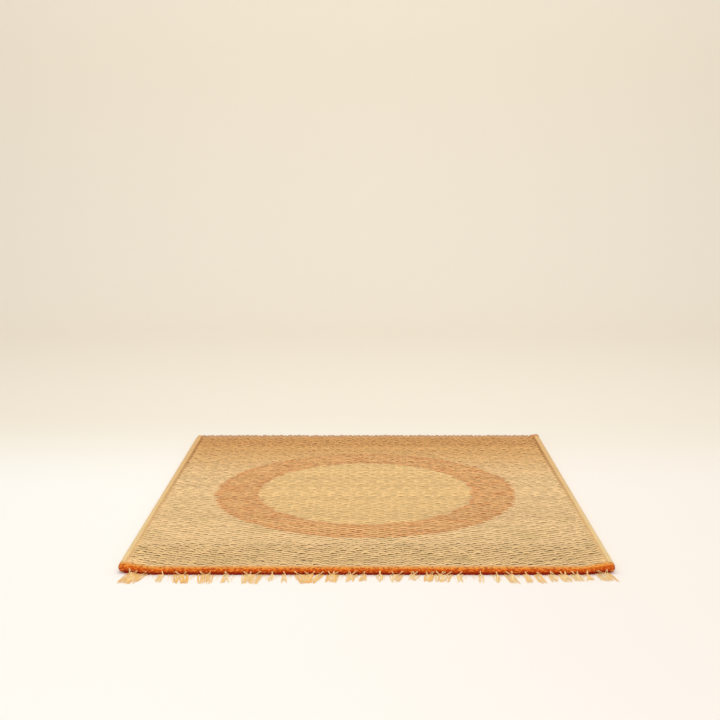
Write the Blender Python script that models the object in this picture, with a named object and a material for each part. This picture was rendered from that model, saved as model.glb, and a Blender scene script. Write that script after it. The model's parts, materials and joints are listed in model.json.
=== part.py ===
"""A flat-woven outdoor rug: woven field with a bumpy back hem, a thick felt roll bound
along the front, piping down both sides, and a tufted fringe sewn under the front roll.

Metres, +Z up. The origin is on the floor, in the middle of the rug and its fringe.
+X is the rug's right, and the fringe lies towards -Y.
"""
import math

import bpy
import bmesh
from mathutils import Vector

MM = 0.001
GAP = 0.3 * MM

# The rug as a whole. FRONT_LINE is where the front roll meets the floor.
RUG_WIDTH = 1.200
RUG_LENGTH = 1.380
FRINGE_REACH = 67 * MM
RUG_CENTRE_Y = FRINGE_REACH / 2
BACK_LINE = RUG_CENTRE_Y + RUG_LENGTH / 2
FRONT_LINE = RUG_CENTRE_Y - RUG_LENGTH / 2

# The woven field and the row of bumps along its back hem.
FIELD_THICKNESS = 16 * MM
FIELD_EDGE_CHAMFER = 2 * MM
HEM_DEPTH = 15 * MM
HEM_CREST_INSET = 6 * MM
HEM_BUMP_PITCH = 30 * MM
HEM_BUMP_RISE = 1.6 * MM
HEM_SHOULDER_DROP = 6 * MM
STEPS_PER_BUMP = 4

# The felt roll along the front. It swells and draws back towards both ends.
ROLL_RADIUS = 9 * MM
ROLL_END_RADIUS = 12.3 * MM
ROLL_HALF_LENGTH = 592 * MM
ROLL_CENTRE_BEHIND_LINE = 4.6 * MM
ROLL_END_SETBACK = 14 * MM
ROLL_SWELL_LENGTH = 85 * MM
ROLL_CAP_LENGTH = 11 * MM
ROLL_SIDES = 16
ROLL_END_STEP = 7 * MM
ROLL_MIDDLE_STEP = 60 * MM
ROLL_CAP_STEPS = 5
ROLL_TIP_FRACTION = 0.25

# The piping along the two sides, with rounded back ends.
PIPING_RADIUS = 8.7 * MM
PIPING_SIDES = 12
PIPING_CAP_LENGTH = 12 * MM
PIPING_CAP_STEPS = 4
PIPING_TIP_FRACTION = 0.35
PIPING_KNOB_LENGTH = 22 * MM
PIPING_KNOB_RISE = {"left_binding": 0.0, "right_binding": 1.8 * MM}

# The fringe: a narrow tape around the roll's lower front, with the strands on it.
# Angles are measured around the roll's centre, from straight ahead to straight down.
TAPE_CLEARANCE = 0.35 * MM
TAPE_THICKNESS = 1.5 * MM
TAPE_TOP_ANGLE = math.radians(8)
TAPE_ROOT_ANGLE = math.radians(38)
TAPE_BOTTOM_ANGLE = math.radians(52)
TAPE_HALF_LENGTH = 582 * MM
STRAND_ROOT_WIDTH = 1.7 * MM
STRAND_TIP_WIDTH = 1.0 * MM
STRAND_LENGTH_SPREAD = 0.10
STRAND_LENGTH_STEP = 0.618
ROOT_SPACING = 2.2 * MM

# Rings along a strand, each at a share of the way from its root to its tip.
STRAND_RINGS = (
    # share, floor clearance mm, height mm
    {"share": 0.06, "under_mm": 1.8, "height_mm": 2.6},
    {"share": 0.20, "under_mm": 0.0, "height_mm": 1.5},
    {"share": 1.00, "under_mm": 0.0, "height_mm": 0.9},
)

# The tufts from left to right, in mm: where their first and last knots sit across the
# rug and how many knots they have, where their tips start and end, how far they reach
# past the front line, and how many strands the knots share out. A strand is shorter
# than its tuft's reach by up to STRAND_LENGTH_SPREAD.
TUFT_COLUMNS = (
    "knot_left",
    "knot_right",
    "knots",
    "tip_left",
    "tip_right",
    "reach",
    "strands",
)
TUFT_ROWS = (
    (-568, -527, 3, -588, -539, 67, 11),
    (-491, -491, 1, -497, -481, 58, 4),
    (-457, -430, 2, -455, -417, 65, 9),
    (-398, -371, 2, -399, -362, 66, 9),
    (-336, -336, 1, -344, -323, 62, 4),
    (-294, -252, 3, -294, -256, 67, 10),
    (-225, -225, 1, -232, -221, 54, 3),
    (-198, -198, 1, -201, -186, 60, 4),
    (-171, -102, 4, -154, -119, 64, 13),
    (-90, -66, 3, -95, -69, 59, 8),
    (-38, -26, 2, -47, -30, 54, 5),
    (-4, -4, 1, -18, -1, 52, 4),
    (33, 33, 1, 28, 41, 51, 3),
    (62, 86, 2, 57, 79, 56, 7),
    (112, 124, 2, 100, 117, 44, 4),
    (145, 160, 2, 133, 158, 54, 6),
    (168, 203, 3, 163, 195, 56, 9),
    (227, 227, 1, 214, 225, 60, 3),
    (271, 271, 1, 265, 278, 60, 3),
    (309, 309, 1, 304, 315, 60, 3),
    (333, 347, 2, 338, 361, 65, 6),
    (378, 378, 1, 377, 395, 62, 5),
    (407, 407, 1, 405, 425, 62, 5),
    (438, 438, 1, 434, 456, 54, 5),
    (463, 474, 2, 461, 487, 54, 6),
    (490, 503, 2, 491, 516, 51, 6),
    (526, 526, 1, 520, 539, 48, 4),
    (550, 576, 2, 553, 596, 50, 9),
)

# Finishes: colour as seen in daylight (red, green, blue out of 255), and roughness.
FINISHES = {
    "field": {"rgb": (222, 183, 128), "roughness": 0.9},
    "front_binding": {"rgb": (216, 128, 54), "roughness": 0.95},
    "left_binding": {"rgb": (232, 198, 142), "roughness": 0.85},
    "right_binding": {"rgb": (232, 190, 132), "roughness": 0.85},
    "fringe": {"rgb": (238, 210, 166), "roughness": 0.9},
}


def clear_scene():
    """Remove whatever objects the file opened with."""
    for old in list(bpy.data.objects):
        bpy.data.objects.remove(old, do_unlink=True)


def linear(channel):
    """Turn one 0 to 255 display channel into a linear light value."""
    value = channel / 255
    if value <= 0.04045:
        return value / 12.92
    return ((value + 0.055) / 1.055) ** 2.4


def make_material(name):
    """Make the Principled material of one sub-part."""
    finish = FINISHES[name]
    material = bpy.data.materials.new(name)
    material.use_nodes = True
    shader = material.node_tree.nodes["Principled BSDF"]
    shader.inputs["Base Color"].default_value = [*map(linear, finish["rgb"]), 1]
    shader.inputs["Roughness"].default_value = finish["roughness"]
    shader.inputs["Metallic"].default_value = 0
    return material


def add_object(name, mesh_builder, smooth_angle):
    """Turn a bmesh into a named object with its own material, faces pointing out."""
    bmesh.ops.recalc_face_normals(mesh_builder, faces=mesh_builder.faces)
    mesh = bpy.data.meshes.new(name)
    mesh_builder.to_mesh(mesh)
    mesh_builder.free()
    mesh.materials.append(make_material(name))
    mesh.shade_smooth()
    mesh.set_sharp_from_angle(angle=math.radians(smooth_angle))
    made = bpy.data.objects.new(name, mesh)
    bpy.context.scene.collection.objects.link(made)
    return made


def add_ring(mesh_builder, points):
    """Add one closed ring of vertices."""
    return [mesh_builder.verts.new(point) for point in points]


def join_rings(mesh_builder, near, far, skipped=()):
    """Join two rings side by side with quads, leaving out the sides in skipped."""
    count = len(near)
    for side in range(count):
        if side in skipped:
            continue
        after = (side + 1) % count
        mesh_builder.faces.new((near[side], near[after], far[after], far[side]))


def loft(name, rings, smooth_angle):
    """Make one closed body from a run of rings, with a flat face on each end."""
    mesh_builder = bmesh.new()
    made = [add_ring(mesh_builder, ring) for ring in rings]
    for near, far in zip(made, made[1:]):
        join_rings(mesh_builder, near, far)
    mesh_builder.faces.new(made[0])
    mesh_builder.faces.new(made[-1])
    return add_object(name, mesh_builder, smooth_angle)


def even_steps(start, end, longest):
    """List places from start to end, no further apart than longest."""
    count = max(1, math.ceil((end - start) / longest - 1e-6))
    return [start + (end - start) * step / count for step in range(count + 1)]


def end_blend(x):
    """Rise smoothly from 0 along the roll's middle to 1 at either end."""
    swell_start = ROLL_HALF_LENGTH - ROLL_SWELL_LENGTH
    share = min(max((abs(x) - swell_start) / ROLL_SWELL_LENGTH, 0), 1)
    return share * share * (3 - 2 * share)


def roll_radius(x):
    """Radius of the roll at x, before its rounded tips."""
    return ROLL_RADIUS + (ROLL_END_RADIUS - ROLL_RADIUS) * end_blend(x)


def roll_centre_y(x):
    """How far along Y the roll's centre lies at x."""
    return FRONT_LINE + ROLL_CENTRE_BEHIND_LINE + ROLL_END_SETBACK * end_blend(x)


def cap_share(distance, length, tip_fraction):
    """Share of the full radius at a distance from a rounded tip."""
    if distance >= length:
        return 1
    rounded = math.sqrt(1 - (1 - distance / length) ** 2)
    return max(rounded, tip_fraction)


def roll_places():
    """Places along the roll where it has a ring, closer together near its ends."""
    swell_start = ROLL_HALF_LENGTH - ROLL_SWELL_LENGTH
    cap_start = ROLL_HALF_LENGTH - ROLL_CAP_LENGTH
    middle = even_steps(-swell_start, swell_start, ROLL_MIDDLE_STEP)
    swell = even_steps(swell_start, cap_start, ROLL_END_STEP)[1:]
    cap = even_steps(cap_start, ROLL_HALF_LENGTH, ROLL_CAP_LENGTH / ROLL_CAP_STEPS)[1:]
    right = swell + cap
    return [-x for x in reversed(right)] + middle + right


def floor_circle(radius, sides):
    """Points of a circle that stands on the floor with one flat side down."""
    flat = radius * math.cos(math.pi / sides)
    turns = [2 * math.pi * (side + 0.5) / sides for side in range(sides)]
    return [(radius * math.sin(turn), flat - radius * math.cos(turn)) for turn in turns]


def make_front_binding():
    """The felt roll, standing on the floor along the whole front."""
    rings = []
    for x in roll_places():
        full = roll_radius(x)
        tip_distance = ROLL_HALF_LENGTH - abs(x)
        share = cap_share(tip_distance, ROLL_CAP_LENGTH, ROLL_TIP_FRACTION)
        lift = (full - full * share) * math.cos(math.pi / ROLL_SIDES)
        circle = floor_circle(full * share, ROLL_SIDES)
        rings.append([Vector((x, roll_centre_y(x) + y, z + lift)) for y, z in circle])
    return loft("front_binding", rings, 40)


def field_half_width():
    """Half the width of the woven field, between the two lengths of piping."""
    return RUG_WIDTH / 2 - 2 * PIPING_RADIUS - GAP


def field_section(x):
    """Outline of the field from front to back at x, as points in Y and Z."""
    front = roll_centre_y(x) + roll_radius(x) + GAP
    top = FIELD_THICKNESS
    wave = math.cos(2 * math.pi * x / HEM_BUMP_PITCH)
    crest = top + HEM_BUMP_RISE * wave
    return [
        (front, 0),
        (front, top - FIELD_EDGE_CHAMFER),
        (front + FIELD_EDGE_CHAMFER, top),
        (BACK_LINE - HEM_DEPTH, top),
        (BACK_LINE - HEM_CREST_INSET, crest),
        (BACK_LINE, crest - HEM_SHOULDER_DROP),
        (BACK_LINE, 0),
    ]


def make_field():
    """The woven cloth as one flat solid, its back hem rising and falling in bumps."""
    half = field_half_width()
    places = even_steps(-half, half, HEM_BUMP_PITCH / STEPS_PER_BUMP)
    rings = [[Vector((x, y, z)) for y, z in field_section(x)] for x in places]
    return loft("field", rings, 30)


def piping_places():
    """Places along a side where the piping has a ring, from front to back."""
    start = roll_centre_y(RUG_WIDTH / 2) + ROLL_END_RADIUS + GAP
    knob_start = BACK_LINE - PIPING_CAP_LENGTH - PIPING_KNOB_LENGTH
    cap_start = BACK_LINE - PIPING_CAP_LENGTH
    knob = even_steps(knob_start, cap_start, PIPING_KNOB_LENGTH / PIPING_CAP_STEPS)
    cap = even_steps(cap_start, BACK_LINE, PIPING_CAP_LENGTH / PIPING_CAP_STEPS)[1:]
    return [start] + knob + cap


def make_side_binding(name, side):
    """One length of round piping, with a knob at its back end where it has one."""
    rings = []
    knob_centre = BACK_LINE - PIPING_CAP_LENGTH
    for y in piping_places():
        closeness = max(0, 1 - abs(y - knob_centre) / PIPING_KNOB_LENGTH)
        rise = PIPING_KNOB_RISE[name] * math.sin(closeness * math.pi / 2) ** 2
        share = cap_share(BACK_LINE - y, PIPING_CAP_LENGTH, PIPING_TIP_FRACTION)
        half_height = PIPING_RADIUS + rise / 2
        flat = math.cos(math.pi / PIPING_SIDES)
        lift = (half_height - half_height * share) * flat
        ring = []
        for across, up in floor_circle(1, PIPING_SIDES):
            x = side * (RUG_WIDTH / 2 - PIPING_RADIUS) + across * PIPING_RADIUS * share
            ring.append(Vector((x, y, up * half_height * share + lift)))
        rings.append(ring)
    return loft(name, rings, 50)


def list_tufts():
    """The tufts as dictionaries with named columns."""
    return [dict(zip(TUFT_COLUMNS, row)) for row in TUFT_ROWS]


def share_between(low, high, number, count):
    """Place number of count places spread evenly from low to high."""
    if count == 1:
        return (low + high) / 2
    return low + (high - low) * number / (count - 1)


def list_roots(tuft):
    """Where a tuft's strands leave the tape, side by side at its knots."""
    roots = []
    for knot in range(tuft["knots"]):
        centre = share_between(tuft["knot_left"], tuft["knot_right"], knot, tuft["knots"]) * MM
        first = knot * tuft["strands"] // tuft["knots"]
        after = (knot + 1) * tuft["strands"] // tuft["knots"]
        middle = (first + after - 1) / 2
        roots += [centre + (number - middle) * ROOT_SPACING for number in range(first, after)]
    return roots


def list_strands():
    """Every strand from left to right: its root, its tip and how far it reaches."""
    strands = []
    for tuft in list_tufts():
        for number, root in enumerate(list_roots(tuft)):
            tip = share_between(tuft["tip_left"], tuft["tip_right"], number, tuft["strands"]) * MM
            shorter = STRAND_LENGTH_SPREAD * ((number * STRAND_LENGTH_STEP) % 1)
            reach = tuft["reach"] * (1 - shorter) * MM
            strands.append({"root": root, "tip": tip, "reach": reach})
    return strands


def tape_point(x, radius, angle):
    """A point around the roll's lower front at x."""
    centre_z = roll_radius(x) * math.cos(math.pi / ROLL_SIDES)
    y = roll_centre_y(x) - radius * math.cos(angle)
    return Vector((x, y, centre_z - radius * math.sin(angle)))


def tape_ring(x):
    """Section of the tape at x. Its first side, from top to root, carries strands."""
    inner_clear = roll_radius(x) + TAPE_CLEARANCE
    outer = inner_clear + TAPE_THICKNESS
    inner = inner_clear / math.cos((TAPE_BOTTOM_ANGLE - TAPE_TOP_ANGLE) / 2)
    return [
        tape_point(x, outer, TAPE_TOP_ANGLE),
        tape_point(x, outer, TAPE_ROOT_ANGLE),
        tape_point(x, outer, TAPE_BOTTOM_ANGLE),
        tape_point(x, inner, TAPE_BOTTOM_ANGLE),
        tape_point(x, inner, TAPE_TOP_ANGLE),
    ]


def tape_spans(strands):
    """Stretches of tape from left to right, each with its strand or with None."""
    swell_start = ROLL_HALF_LENGTH - ROLL_SWELL_LENGTH
    spans = []
    reached = -TAPE_HALF_LENGTH
    for strand in strands + [None]:
        start = TAPE_HALF_LENGTH
        if strand:
            start = strand["root"] - STRAND_ROOT_WIDTH / 2
        longest = ROLL_MIDDLE_STEP
        if max(abs(reached), abs(start)) > swell_start:
            longest = ROLL_END_STEP
        places = even_steps(reached, start, longest)
        spans += [(left, right, None) for left, right in zip(places, places[1:])]
        if strand:
            reached = start + STRAND_ROOT_WIDTH
            spans.append((start, reached, strand))
    return spans


def strand_ring(strand, root_y, ring):
    """Corners of a strand at one ring: top left, top right, low right, low left."""
    share = ring["share"]
    tip_y = FRONT_LINE - strand["reach"]
    x = strand["root"] + (strand["tip"] - strand["root"]) * share
    y = root_y + (tip_y - root_y) * share
    half = (STRAND_ROOT_WIDTH + (STRAND_TIP_WIDTH - STRAND_ROOT_WIDTH) * share) / 2
    low = ring["under_mm"] * MM
    high = low + ring["height_mm"] * MM
    corners = ((x - half, high), (x + half, high), (x + half, low), (x - half, low))
    return [Vector((across, y, up)) for across, up in corners]


def grow_strand(mesh_builder, strand, near, far):
    """Grow one strand out of the open quad between two tape rings."""
    root = [near[0], far[0], far[1], near[1]]
    root_y = min(vertex.co.y for vertex in root)
    for ring in STRAND_RINGS:
        grown = add_ring(mesh_builder, strand_ring(strand, root_y, ring))
        join_rings(mesh_builder, root, grown)
        root = grown
    mesh_builder.faces.new(root)


def make_fringe():
    """The tape and all its strands as one closed body."""
    mesh_builder = bmesh.new()
    spans = tape_spans(list_strands())
    near = add_ring(mesh_builder, tape_ring(spans[0][0]))
    mesh_builder.faces.new(near)
    for _, end, strand in spans:
        far = add_ring(mesh_builder, tape_ring(end))
        if strand:
            join_rings(mesh_builder, near, far, skipped=(0,))
            grow_strand(mesh_builder, strand, near, far)
        else:
            join_rings(mesh_builder, near, far)
        near = far
    mesh_builder.faces.new(near)
    return add_object("fringe", mesh_builder, 30)


def main():
    """Build the rug's five pieces."""
    clear_scene()
    make_field()
    make_front_binding()
    make_side_binding("left_binding", -1)
    make_side_binding("right_binding", 1)
    make_fringe()


if __name__ == "__main__":
    main()
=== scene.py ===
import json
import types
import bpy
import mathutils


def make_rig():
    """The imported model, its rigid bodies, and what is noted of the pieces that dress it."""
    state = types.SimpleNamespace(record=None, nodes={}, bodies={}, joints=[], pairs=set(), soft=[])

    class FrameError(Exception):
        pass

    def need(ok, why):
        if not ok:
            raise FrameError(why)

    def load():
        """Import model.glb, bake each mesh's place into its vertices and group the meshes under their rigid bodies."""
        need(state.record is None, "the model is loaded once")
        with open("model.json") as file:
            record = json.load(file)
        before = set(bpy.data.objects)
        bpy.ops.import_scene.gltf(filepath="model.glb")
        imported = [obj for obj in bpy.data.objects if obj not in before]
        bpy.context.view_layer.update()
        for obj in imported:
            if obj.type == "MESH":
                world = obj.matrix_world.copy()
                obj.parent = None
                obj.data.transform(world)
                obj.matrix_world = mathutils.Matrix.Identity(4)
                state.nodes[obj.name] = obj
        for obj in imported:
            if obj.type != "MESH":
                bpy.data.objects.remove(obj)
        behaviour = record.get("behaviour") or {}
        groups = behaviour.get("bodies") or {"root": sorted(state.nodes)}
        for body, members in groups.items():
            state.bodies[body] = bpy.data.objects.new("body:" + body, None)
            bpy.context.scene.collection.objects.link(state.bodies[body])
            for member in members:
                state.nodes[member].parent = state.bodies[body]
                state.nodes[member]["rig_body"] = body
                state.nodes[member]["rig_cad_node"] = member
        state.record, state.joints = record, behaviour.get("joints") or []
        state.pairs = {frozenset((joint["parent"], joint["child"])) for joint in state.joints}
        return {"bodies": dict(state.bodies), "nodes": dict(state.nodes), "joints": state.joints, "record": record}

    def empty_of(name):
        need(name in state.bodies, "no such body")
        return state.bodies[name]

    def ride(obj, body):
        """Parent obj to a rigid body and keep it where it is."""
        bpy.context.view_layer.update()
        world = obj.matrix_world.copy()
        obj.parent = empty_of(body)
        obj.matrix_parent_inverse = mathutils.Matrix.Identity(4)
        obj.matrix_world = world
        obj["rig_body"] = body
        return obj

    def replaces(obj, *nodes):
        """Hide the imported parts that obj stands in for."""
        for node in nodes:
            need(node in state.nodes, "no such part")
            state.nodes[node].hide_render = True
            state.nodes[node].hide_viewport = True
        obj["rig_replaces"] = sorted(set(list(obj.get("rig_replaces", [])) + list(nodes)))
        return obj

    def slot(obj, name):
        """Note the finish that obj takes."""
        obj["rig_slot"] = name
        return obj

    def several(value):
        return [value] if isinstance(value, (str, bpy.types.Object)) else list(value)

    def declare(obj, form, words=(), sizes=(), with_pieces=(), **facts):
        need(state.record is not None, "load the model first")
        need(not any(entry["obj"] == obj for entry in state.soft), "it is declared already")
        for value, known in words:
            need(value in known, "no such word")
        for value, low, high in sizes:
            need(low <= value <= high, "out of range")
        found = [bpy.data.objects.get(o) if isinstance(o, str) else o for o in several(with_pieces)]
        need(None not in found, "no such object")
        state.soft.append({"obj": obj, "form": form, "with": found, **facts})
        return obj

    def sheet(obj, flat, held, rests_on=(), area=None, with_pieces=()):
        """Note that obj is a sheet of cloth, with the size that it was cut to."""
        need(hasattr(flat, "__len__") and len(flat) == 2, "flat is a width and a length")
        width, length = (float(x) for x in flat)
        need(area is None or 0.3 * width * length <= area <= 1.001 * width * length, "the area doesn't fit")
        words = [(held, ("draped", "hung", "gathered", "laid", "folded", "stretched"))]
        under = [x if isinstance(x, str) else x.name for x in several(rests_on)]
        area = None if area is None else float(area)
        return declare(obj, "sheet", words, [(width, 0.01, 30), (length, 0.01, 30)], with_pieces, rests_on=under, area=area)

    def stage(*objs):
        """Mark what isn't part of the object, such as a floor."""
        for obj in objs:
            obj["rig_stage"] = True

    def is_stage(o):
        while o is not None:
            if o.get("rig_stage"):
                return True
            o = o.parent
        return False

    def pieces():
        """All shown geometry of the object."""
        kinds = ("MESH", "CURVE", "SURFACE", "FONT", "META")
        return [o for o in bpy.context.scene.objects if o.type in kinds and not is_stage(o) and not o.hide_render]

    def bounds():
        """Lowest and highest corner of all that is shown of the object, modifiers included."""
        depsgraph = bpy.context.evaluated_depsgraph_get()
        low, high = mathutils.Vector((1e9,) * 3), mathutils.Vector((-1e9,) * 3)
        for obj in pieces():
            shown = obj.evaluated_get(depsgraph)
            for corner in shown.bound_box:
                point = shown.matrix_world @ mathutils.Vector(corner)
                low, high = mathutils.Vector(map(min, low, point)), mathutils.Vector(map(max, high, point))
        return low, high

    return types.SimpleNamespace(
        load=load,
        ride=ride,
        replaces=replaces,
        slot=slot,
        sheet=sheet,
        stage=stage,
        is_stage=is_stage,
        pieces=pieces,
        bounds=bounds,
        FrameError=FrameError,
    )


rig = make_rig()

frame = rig.load()

# The visual model of an outdoor rug: thick straw wefts woven over a flat ground, a
# knobbly back hem, an orange felt roll along the front, piped sides and a thread fringe.
# Metres, +Z up, the origin on the floor under the middle of the rug and its fringe.

import json
import logging
import math
import random
from collections.abc import Sequence
from dataclasses import dataclass
from enum import Enum

import bmesh
import bpy
from mathutils import Matrix, Vector, noise

MM = 0.001
SIZE_FILE = "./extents.json"
CAD_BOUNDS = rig.bounds()
LOG = logging.getLogger("outdoor_rug")

Colour = tuple[float, float, float, float]
Points = list[Vector]
Material = bpy.types.Material
Piece = bpy.types.Object
Socket = bpy.types.NodeSocket
Settings = dict | None
Value = "Wire | Socket | float | int | tuple | str"


class Slot(Enum):
    """The record's material slots that new pieces take their finish from."""

    STRAW_WEAVE = "straw_weave"
    ORANGE_FELT = "orange_felt"
    PALE_PIPING = "pale_piping"
    FRINGE_THREAD = "fringe_thread"


class Side(Enum):
    """The two long sides of the rug, each with its direction along X."""

    LEFT = -1
    RIGHT = 1


def srgb(red: int, green: int, blue: int) -> Colour:
    """Turn a display colour into linear light.

    Args:
        red: Red from 0 to 255.
        green: Green from 0 to 255.
        blue: Blue from 0 to 255.

    Returns:
        The colour as linear red, green and blue, with full alpha.
    """
    channels = [value / 255 for value in (red, green, blue)]
    linear = [c / 12.92 if c <= 0.04045 else ((c + 0.055) / 1.055) ** 2.4 for c in channels]
    return (linear[0], linear[1], linear[2], 1.0)


def smooth_share(value: float, start: float, end: float) -> float:
    """Rise smoothly from 0 at start to 1 at end."""
    share = min(max((value - start) / (end - start), 0.0), 1.0)
    return share * share * (3 - 2 * share)


def find_socket(sockets: bpy.types.bpy_prop_collection, key: str | int) -> Socket:
    """Find a node's socket.

    Args:
        sockets: The node's inputs or outputs.
        key: The socket's place, identifier or name, tried in that order.

    Returns:
        The socket.
    """
    if isinstance(key, int):
        return sockets[key]
    for socket in sockets:
        if socket.identifier == key:
            return socket
    return sockets[key]


class Wire:
    """A number that runs through a node tree; Python maths on it adds Math nodes."""

    def __init__(self, sheet: "NodeSheet", socket: Socket) -> None:
        """Wrap one output socket of a node on a sheet."""
        self.sheet = sheet
        self.socket = socket

    def _maths(self, operation: str, *values: Value) -> "Wire":
        """Add a Math node with the given operation on the given values."""
        inputs = dict(enumerate(values))
        node = self.sheet.node("ShaderNodeMath", {"operation": operation}, inputs)
        return Wire(self.sheet, node.outputs[0])

    def __add__(self, other: Value) -> "Wire":
        """Self plus other."""
        return self._maths("ADD", self, other)

    def __radd__(self, other: Value) -> "Wire":
        """Other plus self."""
        return self._maths("ADD", other, self)

    def __sub__(self, other: Value) -> "Wire":
        """Self minus other."""
        return self._maths("SUBTRACT", self, other)

    def __rsub__(self, other: Value) -> "Wire":
        """Other minus self."""
        return self._maths("SUBTRACT", other, self)

    def __mul__(self, other: Value) -> "Wire":
        """Self times other."""
        return self._maths("MULTIPLY", self, other)

    def __rmul__(self, other: Value) -> "Wire":
        """Other times self."""
        return self._maths("MULTIPLY", other, self)

    def __truediv__(self, other: Value) -> "Wire":
        """Self divided by other."""
        return self._maths("DIVIDE", self, other)

    def __rtruediv__(self, other: Value) -> "Wire":
        """Other divided by self."""
        return self._maths("DIVIDE", other, self)

    def __pow__(self, other: Value) -> "Wire":
        """Self to the power of other."""
        return self._maths("POWER", self, other)

    def __gt__(self, other: Value) -> "Wire":
        """1 where self is greater than other, else 0."""
        return self._maths("GREATER_THAN", self, other)

    def __abs__(self) -> "Wire":
        """Self without its sign."""
        return self._maths("ABSOLUTE", self)

    def __round__(self, digits: int = 0) -> "Wire":
        """Self to the nearest whole number."""
        return self._maths("ROUND", self)

    def cos(self) -> "Wire":
        """The cosine of self in radians."""
        return self._maths("COSINE", self)

    def sin(self) -> "Wire":
        """The sine of self in radians."""
        return self._maths("SINE", self)

    def sign(self) -> "Wire":
        """Minus 1, 0 or 1 by self's sign."""
        return self._maths("SIGN", self)

    def least(self, other: Value) -> "Wire":
        """The lesser of self and other."""
        return self._maths("MINIMUM", self, other)

    def most(self, other: Value) -> "Wire":
        """The greater of self and other."""
        return self._maths("MAXIMUM", self, other)

    def rise(self, start: Value, end: Value) -> "Wire":
        """Rise smoothly from 0 where self is start to 1 where it is end."""
        inputs = {"Value": self, "From Min": start, "From Max": end}
        settings = {"interpolation_type": "SMOOTHSTEP"}
        node = self.sheet.node("ShaderNodeMapRange", settings, inputs)
        return Wire(self.sheet, node.outputs[0])

    def span(self, low: Value, high: Value) -> "Wire":
        """Stretch self from the range 0 to 1 onto the range low to high."""
        return self * (high - low) + low

    def stripes(self, pitch: float) -> "Wire":
        """Soft stripes from 0 to 1, one for each pitch of self."""
        return (self * (2 * math.pi / pitch)).sin() * 0.5 + 0.5


class NodeSheet:
    """A node tree with one way of adding nodes to it."""

    def __init__(self, tree: bpy.types.NodeTree) -> None:
        """Work on the given tree."""
        self.tree = tree

    def node(self, kind: str, settings: Settings = None, inputs: Settings = None) -> bpy.types.Node:
        """Add a node.

        Args:
            kind: The node's type.
            settings: Its properties by name, set before its sockets.
            inputs: Values or links of its sockets, by place, identifier or name.

        Returns:
            The new node.
        """
        made = self.tree.nodes.new(kind)
        for name, value in (settings or {}).items():
            setattr(made, name, value)
        for key, value in (inputs or {}).items():
            self.feed(find_socket(made.inputs, key), value)
        return made

    def feed(self, socket: Socket, value: Value) -> None:
        """Link a wire or socket to a node's input, or set the input's value."""
        source = value.socket if isinstance(value, Wire) else value
        if isinstance(source, Socket):
            self.tree.links.new(source, socket)
        else:
            socket.default_value = source

    def wire(
        self, kind: str, settings: Settings = None, inputs: Settings = None, output: str | int = 0
    ) -> Wire:
        """Add a node as node() does, and return one of its outputs as a wire."""
        made = self.node(kind, settings, inputs)
        return Wire(self, find_socket(made.outputs, output))

    def split(self, vector: Value) -> tuple[Wire, Wire, Wire]:
        """Split a vector into its three numbers."""
        node = self.node("ShaderNodeSeparateXYZ", inputs={0: vector})
        return (Wire(self, node.outputs[0]), Wire(self, node.outputs[1]), Wire(self, node.outputs[2]))

    def join(self, x: Value, y: Value, z: Value) -> Socket:
        """Join three numbers into a vector."""
        return self.node("ShaderNodeCombineXYZ", inputs={0: x, 1: y, 2: z}).outputs[0]

    def cloud(self, vector: Value, detail: float = 1.0) -> Wire:
        """Smooth noise around 0.5, one blob for each unit of the vector."""
        inputs = {"Vector": vector, "Scale": 1.0, "Detail": detail, "Roughness": 0.6}
        return self.wire("ShaderNodeTexNoise", inputs=inputs)

    def dice(self, x: Value, y: Value, z: Value) -> Wire:
        """An even random number from 0 to 1 for each set of three numbers."""
        return self.wire("ShaderNodeTexWhiteNoise", inputs={"Vector": self.join(x, y, z)})


class ShaderSheet(NodeSheet):
    """A material with a Principled shader, painted in Object coordinates."""

    def __init__(self, name: str) -> None:
        """Start a material with an empty Principled shader."""
        self.material = bpy.data.materials.new(name)
        self.material.use_nodes = True
        super().__init__(self.material.node_tree)
        self.shader = self.tree.nodes["Principled BSDF"]
        coordinates = self.node("ShaderNodeTexCoord")
        self.place = self.split(find_socket(coordinates.outputs, "Object"))

    def grain(self, across: float, along: float, up: float, detail: float = 2.0) -> Wire:
        """Noise over the surface, with so many blobs a metre along each axis."""
        x, y, z = self.place
        return self.cloud(self.join(x * across, y * along, z * up), detail)

    def attribute(self, name: str) -> Wire:
        """A number stored on the piece under a name."""
        return self.wire("ShaderNodeAttribute", {"attribute_name": name}, output="Fac")

    def blend(self, first: Value, second: Value, share: Value) -> Socket:
        """Mix two colours: the first where share is 0, the second where it is 1."""
        settings = {"data_type": "RGBA", "clamp_factor": True}
        inputs = {"Factor_Float": share, "A_Color": first, "B_Color": second}
        made = self.node("ShaderNodeMix", settings, inputs)
        return find_socket(made.outputs, "Result_Color")

    def dim(self, colour: Value, amount: Value) -> Socket:
        """Multiply a colour by a number."""
        inputs = {"Scale": amount, 0: colour}
        made = self.node("ShaderNodeVectorMath", {"operation": "SCALE"}, inputs)
        return made.outputs[0]

    def finish(
        self, colour: Value, roughness: Value, height: Value, depth: float, sheen: float
    ) -> Material:
        """Connect the shader.

        Args:
            colour: The base colour.
            roughness: The roughness, from 0 to 1.
            height: The bump's height, from 0 to 1.
            depth: The bump's full depth in metres.
            sheen: How much soft sheen the cloth has, from 0 to 1.

        Returns:
            The finished material.
        """
        inputs = {"Strength": 1.0, "Distance": depth, "Height": height}
        bump = self.node("ShaderNodeBump", inputs=inputs)
        self.feed(self.shader.inputs["Base Color"], colour)
        self.feed(self.shader.inputs["Roughness"], roughness)
        self.feed(self.shader.inputs["Normal"], bump.outputs[0])
        self.shader.inputs["Sheen Weight"].default_value = sheen
        self.shader.inputs["Sheen Roughness"].default_value = 0.6
        self.shader.inputs["Specular IOR Level"].default_value = 0.15
        return self.material


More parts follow.
